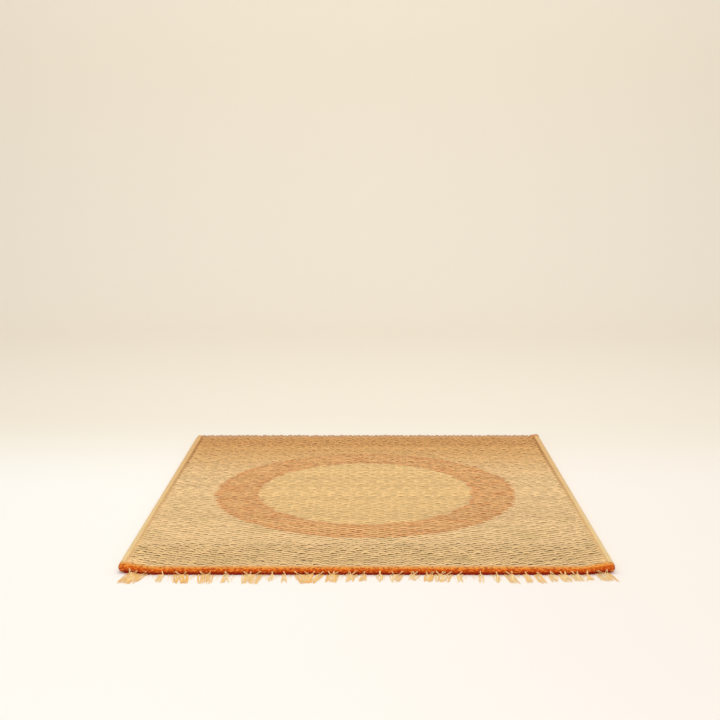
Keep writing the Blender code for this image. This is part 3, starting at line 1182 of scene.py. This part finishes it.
@dataclass
class FrontRoll:
    """The felt roll along the front, swollen and drawn back at both ends, with its nap."""

    plan: RugPlan
    sides: int = 24
    step: float = 4 * MM
    half_length: float = 596.5 * MM
    cap_length: float = 12 * MM
    cap_steps: int = 8
    lump_depth: float = 0.5 * MM
    hairs_per_square_metre: float = 90000
    hair_length: float = 3.0 * MM
    hair_radius: float = 0.16 * MM

    def places(self) -> list[float]:
        """Places along the roll where it has a ring, finer over its rounded ends."""
        cap_start = self.half_length - self.cap_length
        middle = even_steps(-cap_start, cap_start, self.step)
        cap = []
        for number in range(1, self.cap_steps + 1):
            turn = math.pi / 2 * number / (self.cap_steps + 0.4)
            cap.append(cap_start + self.cap_length * math.sin(turn))
        return [-x for x in reversed(cap)] + middle + cap

    def ring(self, x: float) -> Points:
        """One ring of the roll at x, lumpy like rolled felt and flat where it rests."""
        beyond = max(0.0, abs(x) - (self.half_length - self.cap_length))
        share = math.sqrt(max(0.0, 1 - (beyond / self.cap_length) ** 2))
        full = self.plan.roll_size(x)
        radius = full * share
        points = []
        for side in range(self.sides):
            turn = 2 * math.pi * side / self.sides
            out = Vector((0.0, math.cos(turn), math.sin(turn)))
            spot = Vector((x * 55, out.y * 1.3, out.z * 1.3))
            long_spot = Vector((x * 14, out.y * 0.4, out.z * 0.4 + 5))
            lump = noise.noise(spot) * self.lump_depth + noise.noise(long_spot) * self.lump_depth
            grown = out * (radius + lump * share)
            z = max(full + grown.z, 0.3 * MM)
            points.append(Vector((x, self.plan.roll_y(x) + grown.y, z)))
        return points

    def build_nap(self, roll: Piece) -> Piece:
        """Scatter short loose hairs over the roll."""
        recipe = Recipe("roll_nap")
        density = recipe.size("Hairs per square metre", self.hairs_per_square_metre)
        length = recipe.size("Hair length", self.hair_length)
        radius = recipe.size("Hair radius", self.hair_radius)
        seed = recipe.count("Seed", 11)
        spots = recipe.node(
            "GeometryNodeDistributePointsOnFaces",
            inputs={"Mesh": recipe.carrier, "Density": density, "Seed": seed},
        )
        hair = recipe.node(
            "GeometryNodeMeshCone",
            {"fill_type": "NGON"},
            {"Vertices": 3, "Radius Top": radius * 0.3, "Radius Bottom": radius, "Depth": length},
        )
        lean = recipe.wire(
            "FunctionNodeRandomValue",
            {"data_type": "FLOAT_VECTOR"},
            {"Min": (-0.9, -0.9, -3.1), "Max": (0.9, 0.9, 3.1), "Seed": seed},
        )
        turn = recipe.node(
            "FunctionNodeRotateRotation",
            {"rotation_space": "LOCAL"},
            {
                "Rotation": find_socket(spots.outputs, "Rotation"),
                "Rotate By": recipe.node("FunctionNodeEulerToRotation", inputs={0: lean}).outputs[0],
            },
        )
        sizes = recipe.wire(
            "FunctionNodeRandomValue",
            {"data_type": "FLOAT"},
            {"Min_001": 0.5, "Max_001": 1.1, "Seed": recipe.count("Size seed", 12)},
            "Value_001",
        )
        hairs = recipe.node(
            "GeometryNodeInstanceOnPoints",
            inputs={
                "Points": spots.outputs[0],
                "Selection": recipe.position()[2] > 5 * MM,
                "Instance": hair.outputs[0],
                "Rotation": turn.outputs[0],
                "Scale": recipe.join(1.0, 1.0, sizes),
            },
        )
        return recipe.bake(hairs.outputs[0], roll.data.materials[0], roll.data.copy())

    def build(self) -> None:
        finish = OrangeFelt().make()
        mesh_builder = loft([self.ring(x) for x in self.places()])
        # The height share on the roll, read by the felt for its painted light and shade.
        layer = mesh_builder.verts.layers.float.new("rise")
        for vertex in mesh_builder.verts:
            vertex[layer] = vertex.co.z / (2 * self.plan.roll_size(vertex.co.x))
        roll = add_object("front_roll", mesh_builder, finish)
        claim(roll, Slot.ORANGE_FELT, "front_binding")
        claim(self.build_nap(roll), Slot.ORANGE_FELT, "front_binding")


@dataclass
class SidePiping:
    """One side's piping, with the stitches that hold it to the field."""

    plan: RugPlan
    side: Side
    node: str
    knob_rise: float = 0.0
    knob_length: float = 22 * MM
    back_widening: float = 2.5 * MM
    widening_start: float = -0.35
    widening_end: float = 0.45
    cap_length: float = 12 * MM
    front_cap: float = 9 * MM
    sides: int = 18
    step: float = 6 * MM
    smallest_share: float = 0.12
    front_slant: float = 0.35
    lump_depth: float = 0.35 * MM
    cap_steps: int = 7
    stitch_pitch: float = 10 * MM
    stitch_length: float = 6 * MM
    seam_height: float = 15.2 * MM

    @property
    def centre_x(self) -> float:
        """Where the piping's centre lies along X."""
        return self.side.value * (self.plan.half_width - self.plan.piping_radius)

    @property
    def start_y(self) -> float:
        """Where the piping starts, just behind the roll's end."""
        edge = self.plan.half_width
        return self.plan.roll_y(edge) + self.plan.roll_end_radius + self.plan.gap

    def widening(self, y: float) -> float:
        """How much wider each half of the piping is at y than in front."""
        return self.back_widening * smooth_share(y, self.widening_start, self.widening_end)

    def ring(self, y: float) -> Points:
        """One ring of the piping at y, rounded off towards its back end."""
        plan = self.plan
        beyond = max(0.0, y - (plan.back_line - self.cap_length))
        before = max(0.0, self.start_y + self.front_cap - y)
        share = math.sqrt(max(0.0, 1 - (beyond / self.cap_length) ** 2))
        share *= math.sqrt(max(0.0, 1 - (before / self.front_cap) ** 2))
        share = max(share, self.smallest_share)
        knob_centre = plan.back_line - self.cap_length
        closeness = max(0.0, 1 - abs(y - knob_centre) / self.knob_length)
        rise = self.knob_rise * math.sin(closeness * math.pi / 2) ** 2
        half_height = plan.piping_radius + rise / 2
        half_width = plan.piping_radius + self.widening(y) + rise / 3
        centre_x = self.centre_x - self.side.value * self.widening(y)
        points = []
        for number in range(self.sides):
            turn = 2 * math.pi * number / self.sides
            out = Vector((math.cos(turn), 0.0, math.sin(turn)))
            spot = Vector((out.x * 0.8 + self.side.value * 9, y * 45, out.z * 0.8))
            lump = noise.noise(spot) * self.lump_depth
            tuck = self.side.value * before * self.front_slant
            x = centre_x - tuck + out.x * (half_width + lump) * share
            z = half_height + out.z * (half_height + lump) * share
            points.append(Vector((x, y, max(z, 0.2 * MM))))
        return points

    def places(self) -> list[float]:
        """Places along the piping where it has a ring, finer over its rounded end."""
        cap_start = self.plan.back_line - self.cap_length
        front_end = self.start_y + self.front_cap
        steps = self.cap_steps
        turns = [math.pi / 2 * number / steps for number in range(1, steps + 1)]
        front = [front_end - self.front_cap * math.sin(turn) for turn in reversed(turns)]
        back = [cap_start + self.cap_length * math.sin(turn) for turn in turns]
        return front + even_steps(front_end, cap_start, self.step) + back

    def build_stitches(self) -> Piece:
        """Sew a row of slanted stitches down the piping's inner flank."""
        recipe = Recipe(f"{self.node}_stitches")
        pitch = recipe.size("Stitch pitch", self.stitch_pitch)
        length = recipe.size("Stitch length", self.stitch_length)
        inward = -self.side.value
        run = self.plan.back_line - 16 * MM - self.start_y
        count = int(run / self.stitch_pitch)
        arc = recipe.arc(
            6,
            recipe.join(inward * -4.5 * MM, length * -0.5, 1.0 * MM),
            recipe.join(inward * -1.5 * MM, length * -0.3, 1.6 * MM),
            recipe.join(inward * 1.5 * MM, length * 0.3, 0.9 * MM),
            recipe.join(inward * 3.5 * MM, length * 0.5, -0.7 * MM),
        )
        seam_x = self.centre_x + inward * (self.plan.piping_radius + self.plan.gap)
        start = (seam_x, self.start_y + 8 * MM, self.seam_height)
        step = recipe.join(0.0, pitch, 0.0)
        stitches = recipe.repeat(arc, recipe.count("Stitches", count), start, step)
        x, y, z = recipe.position()
        number = round((y - start[1]) / pitch)
        luck = recipe.dice(number, 4.0, float(self.side.value))
        widened = y.rise(self.widening_start, self.widening_end)
        across = x + inward * 2 * self.back_widening * widened + (luck - 0.5) * 1.2 * MM
        moved = recipe.move(stitches, across, y + (luck - 0.5) * 2 * MM, z)
        swept = recipe.sweep(moved, 6, 0.6 * MM, 0.6 * MM)
        return recipe.bake(swept, SeamThread().make(self.node))

    def build(self) -> None:
        finish = PalePiping().make(self.knob_rise > 0)
        name = f"{self.node}_piping"
        piping = add_object(name, loft([self.ring(y) for y in self.places()]), finish)
        claim(piping, Slot.PALE_PIPING, self.node)
        claim(self.build_stitches(), Slot.PALE_PIPING, self.node)


@dataclass(frozen=True)
class Tuft:
    """One tuft of the fringe, in millimetres across the rug and past its front line."""

    knot_left: float
    knot_right: float
    knots: int
    tip_left: float
    tip_right: float
    reach: float
    strands: int
    golden: float = 0.0


TUFTS = (
    Tuft(-568, -527, 3, -588, -539, 67, 11, 0.9),
    Tuft(-491, -491, 1, -497, -481, 58, 4, 0.2),
    Tuft(-457, -430, 2, -455, -417, 65, 9, 1.0),
    Tuft(-398, -371, 2, -399, -362, 66, 9, 0.9),
    Tuft(-336, -336, 1, -344, -323, 62, 4, 0.3),
    Tuft(-294, -252, 3, -294, -256, 67, 10, 0.6),
    Tuft(-225, -225, 1, -232, -221, 54, 3, 0.1),
    Tuft(-198, -198, 1, -201, -186, 60, 4, 0.2),
    Tuft(-171, -102, 4, -154, -119, 64, 13, 1.0),
    Tuft(-90, -66, 3, -95, -69, 59, 8, 0.9),
    Tuft(-38, -26, 2, -47, -30, 54, 5, 0.6),
    Tuft(-4, -4, 1, -18, -1, 52, 4, 0.5),
    Tuft(33, 33, 1, 28, 41, 51, 3, 0.1),
    Tuft(62, 86, 2, 57, 79, 56, 7, 0.1),
    Tuft(112, 124, 2, 100, 117, 44, 4, 0.2),
    Tuft(145, 160, 2, 133, 158, 54, 6, 0.9),
    Tuft(168, 203, 3, 163, 195, 56, 9, 0.3),
    Tuft(227, 227, 1, 214, 225, 60, 3, 0.1),
    Tuft(271, 271, 1, 265, 278, 60, 3, 0.1),
    Tuft(309, 309, 1, 304, 315, 60, 3, 0.2),
    Tuft(333, 347, 2, 338, 361, 65, 6, 0.3),
    Tuft(378, 378, 1, 377, 395, 62, 5, 0.2),
    Tuft(407, 407, 1, 405, 425, 62, 5, 0.3),
    Tuft(438, 438, 1, 434, 456, 54, 5, 0.2),
    Tuft(463, 474, 2, 461, 487, 54, 6, 0.3),
    Tuft(490, 503, 2, 491, 516, 51, 6, 0.2),
    Tuft(526, 526, 1, 520, 539, 48, 4, 0.2),
    Tuft(550, 576, 2, 553, 596, 50, 9, 0.4),
)


@dataclass
class Fringe:
    """The dark tape around the roll's lower front, and the threads knotted into it."""

    plan: RugPlan
    tape_clearance: float = 0.35 * MM
    tape_thickness: float = 1.2 * MM
    tape_top: float = math.radians(20)
    tape_bottom: float = math.radians(54)
    tape_flare: float = 1.6 * MM
    tape_half_length: float = 582 * MM
    threads_per_strand: int = 6
    thread_radius: float = 0.34 * MM
    threads_per_leg: int = 6
    leg_thread_radius: float = 0.75 * MM
    legs_per_knot: int = 2
    strays: int = 130
    thread_points: int = 9
    waviness: float = 1.6 * MM
    wisp_spread: float = 0.9 * MM
    leg_spread: float = 0.65 * MM
    furthest_lean: float = 15 * MM
    seed: int = 23

    def around(self, x: float, clear: float, angle: float) -> Vector:
        """A point in front of the roll.

        Args:
            x: The place across the rug.
            clear: How far off the roll's surface.
            angle: The turn from straight ahead towards straight down.

        Returns:
            The point.
        """
        radius = self.plan.roll_size(x) + clear
        y = self.plan.roll_y(x) - radius * math.cos(angle)
        return Vector((x, y, self.plan.roll_size(x) - radius * math.sin(angle)))

    def build_tape(self) -> Piece:
        """Wrap the tape around the roll's lower front, with an uneven upper edge."""
        rings = []
        for x in even_steps(-self.tape_half_length, self.tape_half_length, 5 * MM):
            top = self.tape_top + 0.16 * noise.noise(Vector((x * 60, 0.0, 0.0)))
            outer = self.tape_clearance + self.tape_thickness
            turns = (top, (top + self.tape_bottom) / 2, self.tape_bottom)
            ring = [self.around(x, outer, turn) for turn in turns]
            # The tape flares onto the floor, laying its dark red-brown, partly painted shade, along the line where the
            # roll meets the floor.
            hem = Vector((x, ring[-1].y - self.tape_flare, 0.3 * MM))
            ring += [hem, hem + Vector((0.0, self.tape_flare, 0.0))]
            ring += [self.around(x, self.tape_clearance, turn) for turn in reversed(turns)]
            rings.append(ring)
        return add_object("fringe_tape", loft(rings), DarkTape().make())

    def knots(self, tuft: Tuft) -> list[float]:
        """Where a tuft's knots sit across the rug, in metres."""
        if tuft.knots == 1:
            return [(tuft.knot_left + tuft.knot_right) / 2 * MM]
        step = (tuft.knot_right - tuft.knot_left) / (tuft.knots - 1)
        return [(tuft.knot_left + step * number) * MM for number in range(tuft.knots)]

    def leg_path(
        self, luck: random.Random, knot: float, lean: float, tip_x: float, reach: float
    ) -> Points:
        """Guide points of a plied thread that leaves the roll at a knot.

        Args:
            luck: The source of random draws.
            knot: Where its knot sits across the rug.
            lean: How far it leans sideways by the time it is past the tape.
            tip_x: Where its tip lies across the rug.
            reach: How far its tip lies past the front line.

        Returns:
            Points from the roll, down over the tape and along the floor.
        """
        root = knot + luck.gauss(0, 1.4 * MM)
        clear = self.tape_clearance + self.tape_thickness + luck.uniform(0.1, 0.6) * MM
        points = [
            self.around(root, 0.0, math.radians(luck.uniform(-8, 6))),
            self.around(root + lean * 0.35, clear, math.radians(22)),
            self.around(root + lean * 0.75, clear, math.radians(46)),
        ]
        foot = points[-1]
        points.append(Vector((root + lean, foot.y - 3 * MM, 1.4 * MM)))
        return points + self.floor_run(luck, points[-1], tip_x, reach)

    def wisp_path(self, luck: random.Random, root: float, tip_x: float, reach: float) -> Points:
        """Guide points of a fine thread that comes out from under the tape.

        Args:
            luck: The source of random draws.
            root: Where it comes out, across the rug.
            tip_x: Where its tip lies across the rug.
            reach: How far its tip lies past the front line.

        Returns:
            Points from under the tape along the floor.
        """
        first = self.around(root, 0.8 * MM, math.radians(luck.uniform(52, 62)))
        first.z = max(first.z, 0.8 * MM)
        second = Vector((root, first.y - luck.uniform(3, 5) * MM, luck.uniform(0.8, 2.4) * MM))
        return [first, second] + self.floor_run(luck, second, tip_x, reach)

    def floor_run(self, luck: random.Random, start: Vector, tip_x: float, reach: float) -> Points:
        """Guide points along the floor from a start to a thread's tip."""
        lay = luck.uniform(0.5, 1.8) * MM
        tip_y = self.plan.front_line - reach
        bend = luck.gauss(0, 1.5 * MM)
        points = []
        for share in (0.3, 0.65, 1.0):
            x = start.x + (tip_x - start.x) * share ** 0.85 + bend * math.sin(share * 5)
            y = start.y + (tip_y - start.y) * share
            points.append(Vector((x, y, lay * (1.1 - 0.6 * share))))
        return points

    def fray(self, luck: random.Random, path: Points, count: int, spread: float) -> list[Points]:
        """Split one strand's path into threads that part towards its tip.

        Args:
            luck: The source of random draws.
            path: The strand's guide points.
            count: How many threads it has.
            spread: How far a typical thread lies from the strand's middle at its tip.

        Returns:
            One path for each thread.
        """
        threads = []
        for _ in range(count):
            side = luck.gauss(0, 1)
            lift = luck.uniform(-0.3, 0.5) * MM
            cut = luck.uniform(0.55, 1.0)
            thread = []
            for order, point in enumerate(path):
                share = order / (len(path) - 1)
                out = side * spread * (0.6 + 0.4 * share)
                thread.append(Vector((point.x + out, point.y, max(point.z + lift, 0.5 * MM))))
            thread[-1] = thread[-2].lerp(thread[-1], cut)
            threads.append(thread)
        return threads

    def strand_paths(self, luck: random.Random, tuft: Tuft) -> list[Points]:
        """The path of each strand of a tuft that comes out from under the tape."""
        paths = []
        for number in range(tuft.strands):
            share = (number + luck.uniform(0.2, 0.8)) / tuft.strands
            root = tuft.knot_left - 5 + (tuft.knot_right - tuft.knot_left + 10) * share
            tip = tuft.tip_left + (tuft.tip_right - tuft.tip_left) * share
            reach = tuft.reach * MM * (1.04 - abs(luck.gauss(0, 0.12)))
            paths.append(self.wisp_path(luck, root * MM, tip * MM, reach))
        return paths

    def stray_path(self, luck: random.Random) -> Points:
        """The path of one loose thread between the tufts."""
        root = luck.uniform(-1, 1) * (self.tape_half_length - 8 * MM)
        reach = luck.uniform(18, 50) * MM
        return self.wisp_path(luck, root, root + luck.gauss(0, 9 * MM), reach)

    def leg_paths(self, luck: random.Random, tuft: Tuft) -> list[Points]:
        """The path of each strand of a tuft that is knotted over the tape."""
        paths = []
        for knot in self.knots(tuft):
            spread = luck.uniform(1, 7) * MM
            drift = ((tuft.tip_left + tuft.tip_right) / 2 * MM - knot) * 0.95
            held = max(-self.furthest_lean, min(self.furthest_lean, drift))
            offset = held + luck.gauss(0, 2.5 * MM)
            for number in range(self.legs_per_knot):
                lean = offset + (number / (self.legs_per_knot - 1) - 0.5) * spread
                tip = tuft.tip_left + (tuft.tip_right - tuft.tip_left) * luck.random()
                tip_x = tip * MM * 0.7 + (knot + lean) * 0.3
                reach = tuft.reach * MM * luck.uniform(0.45, 0.9)
                paths.append(self.leg_path(luck, knot, lean, tip_x, reach))
        return paths

    def lay_guide(
        self, guides: bmesh.types.BMesh, path: Points, girth: float, tone: float, golden: float
    ) -> None:
        """Add one thread's guide as a chain of edges.

        Args:
            guides: The mesh that gathers every guide.
            path: The thread's guide points.
            girth: Half the thread's thickness.
            tone: How far it goes from cream to peach.
            golden: How golden it is.
        """
        values = {"tone": tone, "golden": golden, "girth": girth}
        layers = guides.verts.layers.float
        last = None
        for point in path:
            vertex = guides.verts.new(point)
            for name, value in values.items():
                vertex[layers[name]] = value
            if last:
                guides.edges.new((last, vertex))
            last = vertex

    def build_threads(self) -> Piece:
        """Lay every thread's guide, then sweep them all into soft threads."""
        luck = random.Random(self.seed)
        guides = bmesh.new()
        for name in ("tone", "golden", "girth"):
            guides.verts.layers.float.new(name)
        for tuft in TUFTS:
            for path in self.strand_paths(luck, tuft):
                tone = luck.random()
                golden = 0.06 + 0.94 * tuft.golden * luck.uniform(0.55, 1.0)
                count = round(self.threads_per_strand * (1 + 1.1 * golden))
                for thread in self.fray(luck, path, count, self.wisp_spread):
                    girth = self.thread_radius * luck.uniform(0.8, 1.2)
                    self.lay_guide(guides, thread, girth, tone, golden)
            for path in self.leg_paths(luck, tuft):
                tone = luck.uniform(0.0, 0.3)
                for thread in self.fray(luck, path, self.threads_per_leg, self.leg_spread):
                    golden = 0.2 * tuft.golden
                    self.lay_guide(guides, thread, self.leg_thread_radius, tone, golden)
        for _ in range(self.strays):
            self.lay_guide(guides, self.stray_path(luck), self.thread_radius, luck.random(), 0.1)
        carrier = bpy.data.meshes.new("fringe_threads")
        guides.to_mesh(carrier)
        guides.free()
        recipe = Recipe("fringe_threads")
        curves = recipe.node("GeometryNodeMeshToCurve", inputs={0: recipe.carrier})
        settings = {"spline_type": "CATMULL_ROM"}
        soft = recipe.node("GeometryNodeCurveSplineType", settings, {"Curve": curves.outputs[0]})
        even = recipe.resample(soft.outputs[0], recipe.count("Points", self.thread_points))
        x, y, z = recipe.position()
        waves = recipe.size("Waviness", self.waviness)
        along = recipe.wire("GeometryNodeSplineParameter", output="Factor")
        own = recipe.stored("tone")
        sway = recipe.cloud(recipe.join(own * 40, along * 3.5, 0.0), 1.0) - 0.5
        hop = recipe.cloud(recipe.join(own * 40, along * 3.5, 8.0), 1.0)
        moved = recipe.move(even, x + sway * waves * along * 2.5, y, z + hop * 0.5 * MM * along)
        girth = recipe.stored("girth") * (1 - 0.4 * along)
        swept = recipe.sweep(moved, 4, 1.5, 0.5, girth, smooth=False)
        return recipe.bake(swept, FringeThread().make(), carrier)

    def build(self) -> None:
        claim(self.build_tape(), Slot.FRINGE_THREAD, "fringe")
        claim(self.build_threads(), Slot.FRINGE_THREAD, "fringe")


@dataclass
class Studio:
    """The pale floor that sweeps up into a wall, the soft light and the camera."""

    lens: float = 60.045
    eye: tuple[float, float, float] = (0.01193, -3.39791, 0.99194)
    yaw: float = math.radians(-0.5325)
    pitch: float = math.radians(9.764)
    roll: float = math.radians(-0.1545)
    floor_left: Colour = srgb(255, 252, 245)
    floor_right_shaded: Colour = srgb(252, 244, 235)
    wall_shaded_colour: Colour = srgb(245, 236, 219)
    sweep_start: float = 3.2
    sweep_radius: float = 1.6
    wall_height: float = 5.0
    half_width: float = 7.0
    front: float = -7.0
    surround: float = 0.555

    def profile(self) -> list[tuple[float, float]]:
        """The backdrop's section from the front of the floor to the wall's top."""
        points = [(self.front, 0.0), (-2.0, 0.0), (0.0, 0.0), (self.sweep_start, 0.0)]
        for number in range(1, 13):
            turn = math.pi / 2 * number / 12
            y = self.sweep_start + self.sweep_radius * math.sin(turn)
            points.append((y, self.sweep_radius * (1 - math.cos(turn))))
        points.append((self.sweep_start + self.sweep_radius, self.wall_height))
        return points

    def build_backdrop(self) -> None:
        """Build the seamless backdrop and mark it as stage."""
        mesh_builder = bmesh.new()
        rows = []
        for y, z in self.profile():
            row = [mesh_builder.verts.new((x, y, z)) for x in (-self.half_width, self.half_width)]
            rows.append(row)
        for near, far in zip(rows, rows[1:]):
            mesh_builder.faces.new((near[0], near[1], far[1], far[0]))
        sheet = ShaderSheet("studio_paper")
        x, y, _ = sheet.place
        # Painted shade: the paper is darker to the right, and from the middle of the floor back it grades to a darker,
        # warmer colour on the far floor and the wall, as the light falls off.
        colour = sheet.blend(self.floor_left, self.floor_right_shaded, x.rise(-1.1, 1.1))
        colour = sheet.blend(colour, self.wall_shaded_colour, y.rise(0.0, 1.15))
        grain = sheet.cloud(sheet.join(y, y, y), 1.0)
        paper = sheet.finish(colour, 0.95, grain, 0.0, 0.0)
        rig.stage(add_object("studio_backdrop", mesh_builder, paper, closed=False))

    def add_lamp(
        self, name: str, size: tuple[float, float], power: float, place: tuple, tilt: float = 0.0
    ) -> None:
        """Hang a white soft light.

        Args:
            name: Its name.
            size: Its width and depth in metres.
            power: Its power in watts.
            place: Where its middle is.
            tilt: How far it is turned up from facing straight down, in degrees.
        """
        lamp = bpy.data.lights.new(name, "AREA")
        lamp.shape = "RECTANGLE"
        lamp.size, lamp.size_y = size
        lamp.energy = power
        lamp.color = (1.0, 1.0, 1.0)
        hung = bpy.data.objects.new(name, lamp)
        hung.location = place
        hung.rotation_euler = (math.radians(tilt), 0.0, 0.0)
        bpy.context.scene.collection.objects.link(hung)

    def build_light(self) -> None:
        """Set an even white surround and three soft lights: above, behind and in front."""
        world = bpy.data.worlds.new("studio_surround")
        world.use_nodes = True
        background = world.node_tree.nodes["Background"]
        background.inputs["Color"].default_value = srgb(255, 255, 255)
        background.inputs["Strength"].default_value = self.surround
        bpy.context.scene.world = world
        self.add_lamp("overhead_softbox", (4.0, 3.0), 48, (0.0, 0.2, 3.2))
        self.add_lamp("wall_wash", (8.0, 1.0), 47, (0.0, 2.4, 4.2), 50)
        self.add_lamp("front_fill", (4.0, 1.4), 72, (0.0, -4.6, 1.5), 70)

    def build_camera(self) -> None:
        """Stand the camera where the photograph was taken from."""
        ahead = Vector((math.sin(self.yaw), math.cos(self.yaw), 0.0))
        right = Vector((math.cos(self.yaw), -math.sin(self.yaw), 0.0))
        up = Vector((0.0, 0.0, 1.0))
        forward = ahead * math.cos(self.pitch) - up * math.sin(self.pitch)
        above = up * math.cos(self.pitch) + ahead * math.sin(self.pitch)
        across = right * math.cos(self.roll) + above * math.sin(self.roll)
        top = above * math.cos(self.roll) - right * math.sin(self.roll)
        stand = Matrix((across, top, -forward)).transposed().to_4x4()
        stand.translation = Vector(self.eye)
        lens = bpy.data.cameras.new("studio_camera")
        lens.lens = self.lens
        lens.sensor_width = 36
        lens.clip_end = 50
        camera = bpy.data.objects.new("studio_camera", lens)
        camera.matrix_world = stand
        bpy.context.scene.collection.objects.link(camera)
        bpy.context.scene.camera = camera

    def build(self) -> None:
        """Build the backdrop, the light and the camera, with plain colour management."""
        bpy.context.scene.view_settings.view_transform = "Standard"
        self.build_backdrop()
        self.build_light()
        self.build_camera()


def main() -> None:
    """Build the studio and every sub-assembly of the rug, then note the sizes."""
    logging.basicConfig(level=logging.INFO, format="%(message)s")
    plan = RugPlan()
    Studio().build()
    WovenField(plan).build()
    FrontRoll(plan).build()
    SidePiping(plan, Side.LEFT, "left_binding").build()
    SidePiping(plan, Side.RIGHT, "right_binding", knob_rise=3.2 * MM).build()
    Fringe(plan).build()
    boxes = {"cad": CAD_BOUNDS, "visual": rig.bounds()}
    with open(SIZE_FILE, "w", encoding="utf-8") as size_file:
        json.dump({name: [list(corner) for corner in box] for name, box in boxes.items()}, size_file)


if __name__ == "__main__":
    main()
